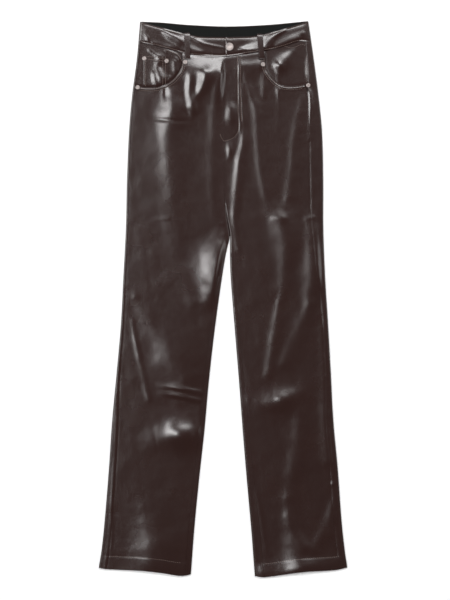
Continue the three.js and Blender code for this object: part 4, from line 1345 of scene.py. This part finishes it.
@dataclass
class Waistband:
    """The two halves of the band, the black facing inside it, and its two front loops.

    Attributes:
        looks: the materials.
        wall, facing_wall, loop_wall: thicknesses in mm.
        radius: of the fold at each side.
        relief: how much higher the band lies away from its folds.
        puff, fold_fade: how high the padding inside lifts it between its two rows of stitches,
            and how far in from its folds that and the creases rise.
        side_levels: y of its seam and of its top edge at a side.
        ends: x at which each half ends in front.
        lap, lap_over: the x about which the left half climbs onto the right one, and over
            how many mm.
        top_groove, seam_groove, end_groove: what its stitches pull down.
        back_level: y of the back's top edge at a side.
        facing_edge: how far below that edge the facing begins.
        facing_groove: what the stitches along its edge pull down.
        loops: the top and foot of each loop's middle line.
        loop_half, loop_lift, loop_arch: half a loop's width, how far its outer side lies above
            the cloth, and how much more at its middle.
        half_cut, facing_cut, loop_cut: what each piece was cut to.
    """

    looks: Wardrobe
    wall: float = 1.6
    facing_wall: float = 0.8
    loop_wall: float = 1.4
    radius: float = 2.6
    relief: float = 0.4
    puff: float = 0.45
    fold_fade: float = 14.0
    side_levels: tuple[float, float] = (500.8, 540.5)
    ends: dict[Side, float] = by_side(28.9, 2.6)
    lap: float = 62.0
    lap_over: float = 26.0
    top_groove: Groove = Groove(0.12, 1.0)
    seam_groove: Groove = Groove(0.4, 1.3)
    end_groove: Groove = Groove(0.3, 1.0)
    back_level: float = 541.1
    facing_edge: float = 1.5
    facing_groove: Groove = Groove(0.25, 0.9)
    loops: dict[Side, tuple[tuple[float, float], tuple[float, float]]] = by_side(
        ((-70.2, 519.0), (-69.4, 468.4)), ((71.4, 516.6), (75.4, 468.5)))
    loop_half: float = 5.3
    loop_lift: float = 1.7
    loop_arch: float = 0.7
    half_cut: FlatCut = FlatCut(0.345, 0.0376, 0.0128)
    facing_cut: FlatCut = FlatCut(0.315, 0.035, 0.0109)
    loop_cut: FlatCut = FlatCut(0.0108, 0.052, 0.00055)

    def height(self, side: Side, x: Array) -> Array:
        """Works out the band's height in front, without creases.

        Args:
            side: which half.
            x: the places, in mm.

        Returns:
            The height at each place, in mm.
        """
        edge = float(CUT.outer[side](CUT.side_top()))
        climb = ease((self.lap - x) / self.lap_over) if side is Side.LEFT else 0
        flat = 2 * self.radius + self.relief * ease(np.abs(edge - x) / 40)
        return flat + (self.wall + CUT.seam_gap) * climb

    def creased(self, side: Side, x: Array, y: Array) -> Array:
        """Adds the band's creases, rolled edges and pulled stitches to its height.

        Args:
            side: which half.
            x, y: arrays of one shape, in mm.

        Returns:
            The height at each point, in mm.
        """
        top, seam = CUT.front_top(x) - y, y - CUT.front_seam(x)
        edge = np.minimum(top, seam)
        near_fold = ease(np.abs(CUT.outer[side](y) - x) / self.fold_fade)
        folds = sum(crease.height(x, y) for crease in BAND_CREASES) * ease((edge + 3) / 7)
        puff = self.puff * ease(edge / 9) - self.top_groove.at(top - 2.4)
        puff = puff - self.seam_groove.at(seam - 2.6)
        if side is Side.LEFT:
            puff = puff - self.end_groove.at(np.abs(x - self.ends[side]) - 2.6)
        return self.height(side, x) + (folds + puff + 0.6 * CLOTH.undulation(x, y)) * near_fold

    def grid(self, side: Side) -> Array:
        """Lays out one half: from centre back along the underside, round the side, in front.

        Args:
            side: which half.

        Returns:
            Points of its outer side by row and column, in mm.
        """
        out = side.value
        levels = steps((0, 0.14, 0.014), (0.14, 0.86, 0.05), (0.86, 1, 0.02))[:, None]
        level = mix(*self.side_levels, levels)
        edge = CUT.outer[side](level)
        centre = CUT.inner_edge(side, level) + out * CUT.seam_gap / 4
        back = mix(centre, edge - out * self.radius, shares(24))
        angle = math.pi * shares(12)
        half = self.height(side, edge) / 2
        turn_x = edge - out * self.radius * (1 - np.sin(angle))
        turn_z = half * (1 - np.cos(angle))
        reach = np.abs(edge - self.ends[side]) - self.radius
        share = steps((0, 0.97, 0.015), (0.97, 1, 0.004))[None, :]
        front = edge - out * (self.radius + share * reach)
        x = np.concatenate([back, turn_x, front], axis=1)
        z = np.concatenate([0 * back, turn_z, 2 * self.radius + 0 * front], axis=1)
        over = ease(z / (2 * self.radius))
        seam = mix(CUT.back_top(x) - CUT.band_height, CUT.front_seam(x), over)
        y = mix(seam, mix(CUT.back_top(x), CUT.front_top(x), over), levels)
        in_front = slice(-front.shape[1], None)
        z[:, in_front] = self.creased(side, x[:, in_front], y[:, in_front])
        return np.stack([x, y, z], axis=-1)

    def facing_grid(self) -> Array:
        """Lays out the black facing inside the back, which shows above the dipped front.

        Returns:
            Points of its outer side by row and column, in mm.
        """
        inset = 2 * self.radius + 1
        right, left = (float(CUT.outer[side](self.back_level)) - side.value * inset
                       for side in Side)
        x = np.linspace(right, left, 110)
        down = steps((self.facing_edge, 6, 0.8), (6, CUT.band_height - 1, 2.6))[:, None]
        y = CUT.back_top(x)[None, :] - down
        z = (self.wall + CUT.seam_gap + self.facing_wall + 0.35 * CLOTH.undulation(x + 0 * y, y)
             - self.facing_groove.at(down - 3.4))
        return np.stack([x + 0 * y, y, z + 0 * x], axis=-1)

    def loop_grid(self, side: Side) -> Array:
        """Lays out a belt loop, over the band from its top edge to under its seam.

        Args:
            side: which loop.

        Returns:
            Points of its outer side by row and column, in mm.
        """
        top, foot = self.loops[side]
        v = np.linspace(0, 1, 34)[:, None]
        u = steps((-1, -0.7, 0.1), (-0.7, 0.7, 0.2), (0.7, 1, 0.1))[None, :]
        x = mix(top[0], foot[0], v) + self.loop_half * u
        y = mix(top[1], foot[1], v) + 0 * u
        seam = CUT.front_seam(x)
        on_front = CLOTH.front(x, np.minimum(y, seam - CUT.seam_gap))
        ground = mix(on_front, self.creased(side, x, y), ease((y - seam + 3) / 3))
        # The strip is stiffer than the cloth under it, so it spans the creases.
        ground = ground.max(axis=1, keepdims=True)
        taut = mix(ground[0], ground[-1], v)
        ground = taut + (ground - taut).max() - 0.3
        lift = self.loop_lift + self.loop_arch * np.sin(math.pi * v) - 0.1 * u ** 4
        # A bar of close stitches holds it down at each end.
        lift = lift - 0.3 * bell(v - 0.035, 0.03) - 0.3 * bell(v - 0.965, 0.03)
        return np.stack([x, y, ground + lift], axis=-1)

    def build(self) -> None:
        """Makes the band, its facing and its loops."""
        for side in Side:
            grid = self.grid(side)
            half = ClothPiece(f"band_{side.word}", f"waistband_{side.word}", self.wall,
                              self.half_cut, self.looks.leather)
            half.sew(grid, row_normals(grid) * -side.value)
        facing = ClothPiece("band_facing", "waistband_facing", self.facing_wall, self.facing_cut,
                            self.looks.facing, "black_facing")
        facing.sew(self.facing_grid())
        for side in Side:
            loop = ClothPiece(f"loop_{side.word}", f"belt_loop_{side.word}", self.loop_wall,
                              self.loop_cut, self.looks.leather)
            loop.sew(self.loop_grid(side))


@dataclass
class Pockets:
    """The facings behind the mouths, and the coin pocket on the right one.

    Attributes:
        looks: the materials.
        depth: how far a facing lies under the front's outer side, in mm.
        under: how far it reaches in under the front.
        wall: its thickness.
        side_ends: y of its two ends at the outseam.
        draw: how much it is drawn down along each mouth, where the front rolls over it.
        coin_sides: x of the coin pocket's sides.
        coin_tops: y of its mouth at each side.
        coin_lift: how far it lies above the facing.
        coin_length: its length.
        edge_groove, mouth_groove: what its stitches pull down.
        facing_cut, coin_cut: what each piece was cut to.
    """

    looks: Wardrobe
    depth: float = 1.5
    under: float = 8.0
    wall: float = 0.8
    side_ends: tuple[float, float] = (501.0, 412.5)
    draw: dict[Side, Groove] = by_side(Groove(1.1, 2.6), Groove(0.3, 2.6))
    coin_sides: tuple[float, float] = (-106.6, -157.6)
    coin_tops: tuple[float, float] = (470.8, 476.5)
    coin_lift: float = 1.1
    coin_length: float = 60.0
    edge_groove: Groove = Groove(0.06, 0.9)
    mouth_groove: Groove = Groove(0.3, 1.0)
    facing_cut: FlatCut = FlatCut(0.1, 0.085, 0.0066)
    coin_cut: FlatCut = FlatCut(0.052, 0.062, 0.0029)

    def facing_height(self, x: Array, y: Array) -> Array:
        """Works out a facing's height, with its own creases.

        Args:
            x, y: arrays of one shape, in mm.

        Returns:
            The height at each point, in mm.
        """
        folds = sum(crease.height(x, y) for crease in FACING_CREASES)
        height = CLOTH.smooth(x, y) - self.depth + folds + 0.5 * CLOTH.undulation(x, y)
        for side, groove in self.draw.items():
            height = height - groove.along(CLOTH.mouths[side], x, y)
        return height

    def coin_height(self, x: Array, y: Array) -> Array:
        """The coin pocket's height."""
        return self.facing_height(x, y) + self.coin_lift

    def facing_grid(self, side: Side) -> Array:
        """Lays out a facing, from the waistband's seam to under the mouth.

        Args:
            side: which pocket.

        Returns:
            Points of its outer side by row and column, in mm.
        """
        out, top = side.value, CUT.mouth_top[side]
        v = np.linspace(0, 1, 34)[:, None]
        u = np.linspace(0, 1, 42)[None, :]
        side_y = mix(*self.side_ends, v)
        x = mix(top - out * self.under, CUT.outseam_x(side, side_y) + out, u)
        mouth_x = np.where(np.abs(x) < abs(top), top, x)
        low = CUT.mouths[side](mouth_x) - self.under
        y = mix(CUT.front_seam(x) - CUT.seam_gap, low, v)
        return np.stack([x, y, self.facing_height(x, y)], axis=-1)

    def coin_grid(self) -> Array:
        """Lays out the coin pocket.

        Returns:
            Points of its outer side by row and column, in mm.
        """
        v = steps((0, 0.12, 0.02), (0.12, 1, 0.04))[:, None]
        u = steps((0, 0.06, 0.015), (0.06, 0.94, 0.04), (0.94, 1, 0.015))[None, :]
        x = mix(*self.coin_sides, u) + 0 * v
        y = mix(mix(*self.coin_tops, u), CUT.mouths[Side.RIGHT](x) + 1.6, v)
        width = abs(self.coin_sides[1] - self.coin_sides[0])
        from_mouth = v * self.coin_length
        from_edge = np.minimum(np.minimum(u, 1 - u) * width, from_mouth)
        z = self.coin_height(x, y) + 0.15 * ease(from_edge / 6)
        z = z - self.edge_groove.at(from_edge - 2) - self.mouth_groove.at(from_mouth - 7)
        return np.stack([x, y, z], axis=-1)

    def build(self) -> None:
        """Makes both facings and the coin pocket."""
        for side in Side:
            facing = ClothPiece(f"facing_{side.word}", f"pocket_facing_{side.word}", self.wall,
                                self.facing_cut, self.looks.leather)
            facing.sew(self.facing_grid(side))
        coin = ClothPiece("coin_pocket_piece", "coin_pocket", self.wall, self.coin_cut,
                          self.looks.leather)
        coin.sew(self.coin_grid())


@dataclass
class Fly:
    """The zip tape and the shield, hidden under the placket.

    Attributes:
        looks: the materials.
        length: of both strips, in mm.
        wall: their thickness.
    """

    looks: Wardrobe
    length: float = 150.0
    wall: float = 0.8

    def strip(self, name: str, node: str, across: tuple[float, float], under: float,
              finish: bpy.types.Material, slot: str) -> None:
        """Makes a plain strip that hangs from the waistband's seam.

        Args:
            name: the piece's name.
            node: the solid that it stands for.
            across: x of its two sides, in mm.
            under: how far it lies under the front's outer side.
            finish: its material.
            slot: the record's material slot.
        """
        x = np.linspace(*across, 12)[None, :]
        y = CUT.front_seam(x) - 1 - np.linspace(0, 1, 50)[:, None] * self.length
        z = CLOTH.smooth(x + 0 * y, y) - under
        width, length = (across[1] - across[0]) * MM, self.length * MM
        piece = ClothPiece(name, node, self.wall, FlatCut(width, length, width * length), finish,
                           slot)
        piece.sew(np.stack([x + 0 * y, y, z], axis=-1))

    def build(self) -> None:
        """Makes both strips."""
        self.strip("zip_tape", "fly_zip", (-2, 24), 1.5, self.looks.tape, "zip_tape")
        self.strip("shield", "fly_shield", (-8, 28), 2.6, self.looks.leather, "faux_leather")


@dataclass
class Metalware:
    """The jeans button and the six rivets, turned shapes seated on the cloth.

    Attributes:
        looks: the materials.
        band: the waistband, which the button is on.
        pockets: the pockets, which two rivets are on.
        button: the button's centre, in mm.
        rivets: the solid, the centre and whether it is on the coin pocket, for each.
        coin_seat: how far a rivet stands off the coin pocket.
        button_profile, rivet_profile: radius and height of each outline.
    """

    looks: Wardrobe
    band: Waistband
    pockets: Pockets
    button: tuple[float, float] = (12.5, 492.2)
    rivets: tuple[tuple[str, float, float, bool], ...] = (
        ("rivet_right_mouth_1", -73.9, 462.2, False),
        ("rivet_right_mouth_2", -166.7, 413.1, False),
        ("rivet_left_mouth_1", 78.0, 457.9, False),
        ("rivet_left_mouth_2", 166.1, 417.0, False),
        ("rivet_coin_1", -153.7, 469.2, True),
        ("rivet_coin_2", -110.2, 464.5, True))
    coin_seat: float = 0.3
    button_profile: tuple[tuple[float, float], ...] = (
        (0, 0), (6.4, 0), (7.4, 0.3), (7.9, 0.9), (8.0, 1.5), (7.8, 2.0), (7.3, 2.3), (6.7, 2.35),
        (6.2, 2.2), (5.8, 1.9), (5.5, 1.75), (4.6, 1.7), (4.4, 1.85), (4.1, 1.85), (3.9, 1.7),
        (2.4, 1.65), (1.2, 1.7), (0, 1.7))
    rivet_profile: tuple[tuple[float, float], ...] = (
        (0, 0), (4.2, 0), (4.4, 0.25), (4.4, 0.55), (4.2, 0.85), (3.8, 1.1), (3.2, 1.3),
        (2.7, 1.35), (2.3, 1.2), (2.0, 1.05), (1.7, 1.1), (1.5, 1.4), (1.2, 1.65), (0.7, 1.8),
        (0, 1.85))

    def on_coin(self, x: Array, y: Array) -> Array:
        """How high a rivet on the coin pocket sits."""
        return self.pockets.coin_height(x, y) + self.coin_seat

    def turned(self, name: str, node: str, profile: Sequence[tuple[float, float]], segments: int,
               centre: tuple[float, float], height: Height) -> None:
        """Makes a turned piece, tilted as the cloth under it and seated on its highest point.

        Args:
            name: the piece's name.
            node: the solid that it stands for.
            profile: radius and height of its outline, from the foot's centre to the top's.
            segments: how many sides it has.
            centre: its x and y, in mm.
            height: the height of the cloth under it.
        """
        x, y = centre
        reach = profile[1][0]
        angle = np.linspace(0, 2 * math.pi, segments, endpoint=False)
        ring_x, ring_y = reach * np.cos(angle), reach * np.sin(angle)
        around = height(x + ring_x, y + ring_y)
        slope_x = (around * np.cos(angle)).mean() * 2 / reach
        slope_y = (around * np.sin(angle)).mean() * 2 / reach
        seat = (around - slope_x * ring_x - slope_y * ring_y).max() + 0.1
        outline = np.array(profile[1:-1])
        px = outline[:, :1] * np.cos(angle)
        py = outline[:, :1] * np.sin(angle)
        pz = outline[:, 1:] + 0 * px
        tilted = [x + px - slope_x * pz, y + py - slope_y * pz,
                  seat + pz + slope_x * px + slope_y * py]
        top = profile[-1][1]
        ends = np.array([[x, y, seat], [x - slope_x * top, y - slope_y * top, seat + top]])
        points = np.concatenate([np.stack(tilted, axis=-1).reshape(-1, 3), ends])
        near = np.arange(len(outline) * segments).reshape(-1, segments)
        far = np.roll(near, -1, axis=1)
        faces = np.stack([near[:-1], far[:-1], far[1:], near[1:]], axis=-1).reshape(-1, 4).tolist()
        foot, tip = near.size, near.size + 1
        faces += [[foot, int(b), int(a)] for a, b in zip(near[0], far[0])]
        faces += [[tip, int(a), int(b)] for a, b in zip(near[-1], far[-1])]
        mesh = smooth_mesh(name, points, faces, self.looks.silver)
        dress(put_in_scene(name, mesh), "silver_metal", [node])

    def build(self) -> None:
        """Makes the button and the rivets."""
        for node, x, y, on_coin in self.rivets:
            self.turned(node.replace("rivet", "cap"), node, self.rivet_profile, 32, (x, y),
                        self.on_coin if on_coin else CLOTH.front)
        self.turned("button", "jeans_button", self.button_profile, 64, self.button,
                    partial(self.band.creased, Side.LEFT))
        log.info("button and %d rivets", len(self.rivets))


@dataclass
class Topstitching:
    """Every row of stitches, laid along its line by one Geometry Nodes tree.

    Attributes:
        looks: the materials.
        band: the waistband.
        pockets: the pockets.
        pitch, length, width: of a stitch, in mm.
        lift: how far its middle lies above the cloth.
        band_inset: how far the band's two rows lie from its edges.
        band_end: x of the row down the band's end.
        hem_ends: how far a hem's row ends from the inner edge and from the outseam.
        seed: of the stitches' slight unevenness.
    """

    looks: Wardrobe
    band: Waistband
    pockets: Pockets
    # Real stitches are 3 mm long and 0.5 mm wide; they are drawn a little larger, to show.
    pitch: float = 4.0
    length: float = 3.1
    width: float = 0.95
    lift: float = 0.25
    band_inset: float = 2.4
    band_end: float = 5.2
    hem_ends: tuple[float, float] = (22.0, 2.0)
    seed: int = 11

    def tree(self) -> bpy.types.NodeTree:
        """Makes the tree: stitches a pitch apart along each curve, slightly uneven.

        Returns:
            The tree, whose inputs are Pitch, Length, Width and Seed.
        """
        tree = bpy.data.node_groups.new("stitch_rows", "GeometryNodeTree")
        for name, kind in (("Geometry", "Geometry"), ("Pitch", "Float"), ("Length", "Float"),
                           ("Width", "Float"), ("Seed", "Int")):
            tree.interface.new_socket(name=name, in_out="INPUT",
                                      socket_type=f"NodeSocket{kind}")
        tree.interface.new_socket(name="Geometry", in_out="OUTPUT",
                                  socket_type="NodeSocketGeometry")
        source = add_node(tree, "NodeGroupInput").outputs
        places = add_node(tree, "GeometryNodeCurveToPoints", {"mode": "LENGTH"},
                          {"Curve": source["Geometry"], "Length": source["Pitch"]})
        stitch = add_node(tree, "GeometryNodeMeshUVSphere", {},
                          {"Segments": 6, "Rings": 5, "Radius": 0.5})
        smooth = add_node(tree, "GeometryNodeSetShadeSmooth", {},
                          {"Geometry": stitch.outputs["Mesh"]})
        size = add_node(tree, "ShaderNodeCombineXYZ", {},
                        {"X": source["Width"], "Y": source["Width"], "Z": source["Length"]})
        uneven = add_node(tree, "FunctionNodeRandomValue", {"data_type": "FLOAT_VECTOR"},
                          {0: (0.88, 0.88, 0.88), 1: (1.08, 1.08, 1.05), "Seed": source["Seed"]})
        scale = add_node(tree, "ShaderNodeVectorMath", {"operation": "MULTIPLY"},
                         {0: size.outputs[0], 1: uneven.outputs[0]})
        placed = add_node(tree, "GeometryNodeInstanceOnPoints", {},
                          {"Points": places.outputs["Points"], "Instance": smooth.outputs[0],
                           "Rotation": places.outputs["Rotation"], "Scale": scale.outputs[0]})
        real = add_node(tree, "GeometryNodeRealizeInstances", {}, {"Geometry": placed.outputs[0]})
        dyed = add_node(tree, "GeometryNodeSetMaterial", {},
                        {"Geometry": real.outputs[0], "Material": self.looks.thread})
        add_node(tree, "NodeGroupOutput", {}, {"Geometry": dyed.outputs[0]})
        return tree

    def band_rows(self) -> Iterator[tuple[Path, Height]]:
        """Draws the rows along the band's two edges and down its end.

        Yields:
            Each row and the height of the cloth that it is in.
        """
        halves = {side: partial(self.band.creased, side) for side in Side}
        for x, side in ((np.arange(-158.0, 1.0, 2), Side.RIGHT),
                        (np.arange(self.band_end, 162.0, 2), Side.LEFT)):
            yield Path(np.stack([x, CUT.front_top(x) - self.band_inset], axis=1)), halves[side]
            yield Path(np.stack([x, CUT.front_seam(x) + self.band_inset], axis=1)), halves[side]
        x = self.band_end
        low, high = float(CUT.front_seam(x)) + 3, float(CUT.front_top(x)) - 3
        yield Path.through((x, low), (x, (low + high) / 2), (x, high)), halves[Side.LEFT]

    def side_rows(self, side: Side) -> Iterator[tuple[Path, Height]]:
        """Draws the two rows along a pocket mouth and the one along a hem.

        Args:
            side: which side of the garment.

        Yields:
            Each row and the height of the cloth that it is in.
        """
        out = side.value
        for inset, start in zip(CLOTH.mouth_rows, (2, 3)):
            yield CLOTH.mouths[side].offset(-out * inset).part(start, -2 * start), CLOTH.front
        inner = float(CUT.inner_edge(side, CUT.hem)) + out * self.hem_ends[0]
        outer = float(CUT.outseam_x(side, CUT.hem)) - out * self.hem_ends[1]
        x = np.linspace(inner, outer, 80)
        y = CUT.hems[side](x) + CLOTH.hem_depth - 2.5
        yield Path(np.stack([x, y], axis=1)), CLOTH.in_hem

    def rows(self) -> Iterator[tuple[Path, Height]]:
        """Draws all of them.

        Yields:
            Each row and the height of the cloth that it is in.
        """
        yield from self.band_rows()
        for row in CLOTH.placket_rows:
            yield row, CLOTH.front
        for side in Side:
            yield from self.side_rows(side)
        # Across the centre seam below the placket
        yield Path.through((0.6, 309.4), (-1.6, 312), (-3.9, 316), (-5.4, 320.4)), CLOTH.front
        # Down the coin pocket's sides and along its mouth
        for x in (-151.5, -117.5, -112.5):
            yield Path.through((x, 472), (x, 445), (x, 417)), self.pockets.coin_height
        for y in (463.8, 468.8):
            mouth = Path.through((-107, y), (-132, y + 2.8), (-157, y + 5.6))
            yield mouth, self.pockets.coin_height
        # Where each pocket's bag is sewn to its facing
        yield (Path.through((-113.3, 487), (-95.7, 480), (-90, 479), (-81, 466)),
               self.pockets.facing_height)
        yield (Path.through((120.7, 493), (134.4, 490), (154.8, 497), (163, 491), (162.7, 472),
                            (162.7, 425)), self.pockets.facing_height)

    def build(self) -> None:
        """Lays the rows, turns them into one mesh and dresses it."""
        curve = bpy.data.curves.new("rows", "CURVE")
        curve.dimensions = "3D"
        for path, height in self.rows():
            z = height(path.points[:, 0], path.points[:, 1]) + self.lift
            spline = curve.splines.new("POLY")
            spline.points.add(len(z) - 1)
            points = [path.points * MM, (z * MM)[:, None], np.ones((len(z), 1))]
            spline.points.foreach_set("co", np.concatenate(points, axis=1).ravel())
        rows = put_in_scene("rows", curve)
        modifier = rows.modifiers.new("stitches", "NODES")
        modifier.node_group = self.tree()
        values = {"Pitch": self.pitch * MM, "Length": self.length * MM, "Width": self.width * MM,
                  "Seed": self.seed}
        for item in modifier.node_group.interface.items_tree:
            if item.in_out == "INPUT" and item.name in values:
                modifier[item.identifier] = values[item.name]
        graph = bpy.context.evaluated_depsgraph_get()
        mesh = bpy.data.meshes.new_from_object(rows.evaluated_get(graph))
        mesh.name = "topstitching"
        bpy.data.objects.remove(rows)
        dress(put_in_scene("topstitching", mesh), "faux_leather")
        log.info("topstitching: %d faces", len(mesh.polygons))


@dataclass(frozen=True)
class Softbox:
    """A rectangular light, aimed at the garment's middle.

    Attributes:
        name: where it stands.
        towards: the direction from the garment to it.
        distance: in metres.
        width, length: its sides, in metres.
        radiance: how bright its face is.
    """

    name: str
    towards: tuple[float, float, float]
    distance: float
    width: float
    length: float
    radiance: float

    def build(self) -> None:
        """Makes the light."""
        data = bpy.data.lights.new(self.name, "AREA")
        data.shape = "RECTANGLE"
        data.size, data.size_y = self.width, self.length
        data.energy = self.radiance * math.pi * self.width * self.length
        light = put_in_scene(self.name, data)
        away = Vector(self.towards).normalized()
        light.location = away * self.distance
        light.rotation_mode = "QUATERNION"
        light.rotation_quaternion = away.to_track_quat("Z", "Y")


@dataclass
class Studio:
    """The camera straight above, the pale floor and the soft lights.

    Attributes:
        lens: in mm.
        above: the camera's height in metres. Both are large, since the photo shows almost no
            perspective.
        centre: x and y of the camera, in metres.
        surround: how bright the world is away from the lights.
        floor_half, floor_drop: half the floor's side, and how far it lies under the garment.
        lights: each bright box has larger and dimmer ones just behind it, for soft edges. The
            two low ones show the cloth's gloss from other angles.
    """

    lens: float = 250.0
    above: float = 8.13
    centre: tuple[float, float] = (0.0037, -0.0016)
    surround: float = 0.06
    floor_half: float = 6.0
    floor_drop: float = 0.0002
    lights: tuple[Softbox, ...] = (
        Softbox("key", (-0.425, 0.10, 0.90), 6.0, 0.8, 2.6, 9.0),
        Softbox("key_edge", (-0.425, 0.10, 0.90), 6.05, 1.35, 3.0, 4.0),
        Softbox("key_spill", (-0.425, 0.10, 0.90), 6.1, 1.9, 3.4, 2.5),
        Softbox("top", (0.10, 0.44, 0.90), 6.0, 2.8, 0.8, 9.0),
        Softbox("top_edge", (0.10, 0.44, 0.90), 6.05, 3.4, 1.3, 4.0),
        Softbox("top_spill", (0.10, 0.44, 0.90), 6.1, 4.0, 1.8, 2.5),
        Softbox("fill_right", (0.66, 0.1, 0.74), 6.0, 1.6, 3.0, 2.5),
        Softbox("low_at_hems", (0.0, -0.76, 0.65), 6.0, 3.0, 1.0, 1.6),
        Softbox("low_at_waist", (0.0, 0.93, 0.37), 6.0, 3.0, 0.7, 0.9))

    def place_camera(self) -> None:
        """Makes the camera and sets it as the scene's."""
        data = bpy.data.cameras.new("camera")
        data.lens, data.sensor_width = self.lens, 36.0
        data.clip_start, data.clip_end = 0.1, 50.0
        camera = put_in_scene("camera", data)
        camera.location = (*self.centre, self.above)
        bpy.context.scene.camera = camera

    def lay_floor(self) -> None:
        """Makes the floor, of matt white paper that glows a little, as a cut-out's white does."""
        half, low = self.floor_half, -self.floor_drop
        mesh = bpy.data.meshes.new("floor")
        mesh.from_pydata([(-half, -half, low), (half, -half, low), (half, half, low),
                          (-half, half, low)], [], [(0, 1, 2, 3)])
        paper = bpy.data.materials.new("white_paper")
        paper.use_nodes = True
        fill_sockets(paper.node_tree, paper.node_tree.nodes["Principled BSDF"],
                     {"Base Color": linear("#f4f4f4"), "Roughness": 0.9,
                      "Emission Color": (1, 1, 1, 1), "Emission Strength": 0.25})
        mesh.materials.append(paper)
        put_in_scene("floor", mesh)

    def build(self) -> None:
        """Makes all of it. The camera comes first."""
        self.place_camera()
        scene = bpy.context.scene
        scene.view_settings.view_transform = "Standard"
        world = bpy.data.worlds.new("studio")
        world.use_nodes = True
        grey = (self.surround, self.surround, self.surround, 1)
        fill_sockets(world.node_tree, world.node_tree.nodes["Background"], {"Color": grey})
        scene.world = world
        for light in self.lights:
            light.build()
        self.lay_floor()


def main() -> None:
    """Builds the studio and every sub-assembly."""
    logging.basicConfig(level=logging.INFO, format="%(name)s: %(message)s")
    Studio().build()
    looks = Wardrobe(FauxLeather().material(), WovenCloth("cotton_facing", "#0d100f").material(),
                     WovenCloth("zip_tape_weave", "#2c2423").material(),
                     SewingThread().material(), SatinSilver().material())
    band, pockets = Waistband(looks), Pockets(looks)
    for assembly in (Leg(Side.RIGHT, looks), Leg(Side.LEFT, looks), band, pockets, Fly(looks),
                     Metalware(looks, band, pockets), Topstitching(looks, band, pockets)):
        assembly.build()
        log.info("%s made", type(assembly).__name__)
    bpy.context.view_layer.update()


if __name__ == "__main__":
    main()
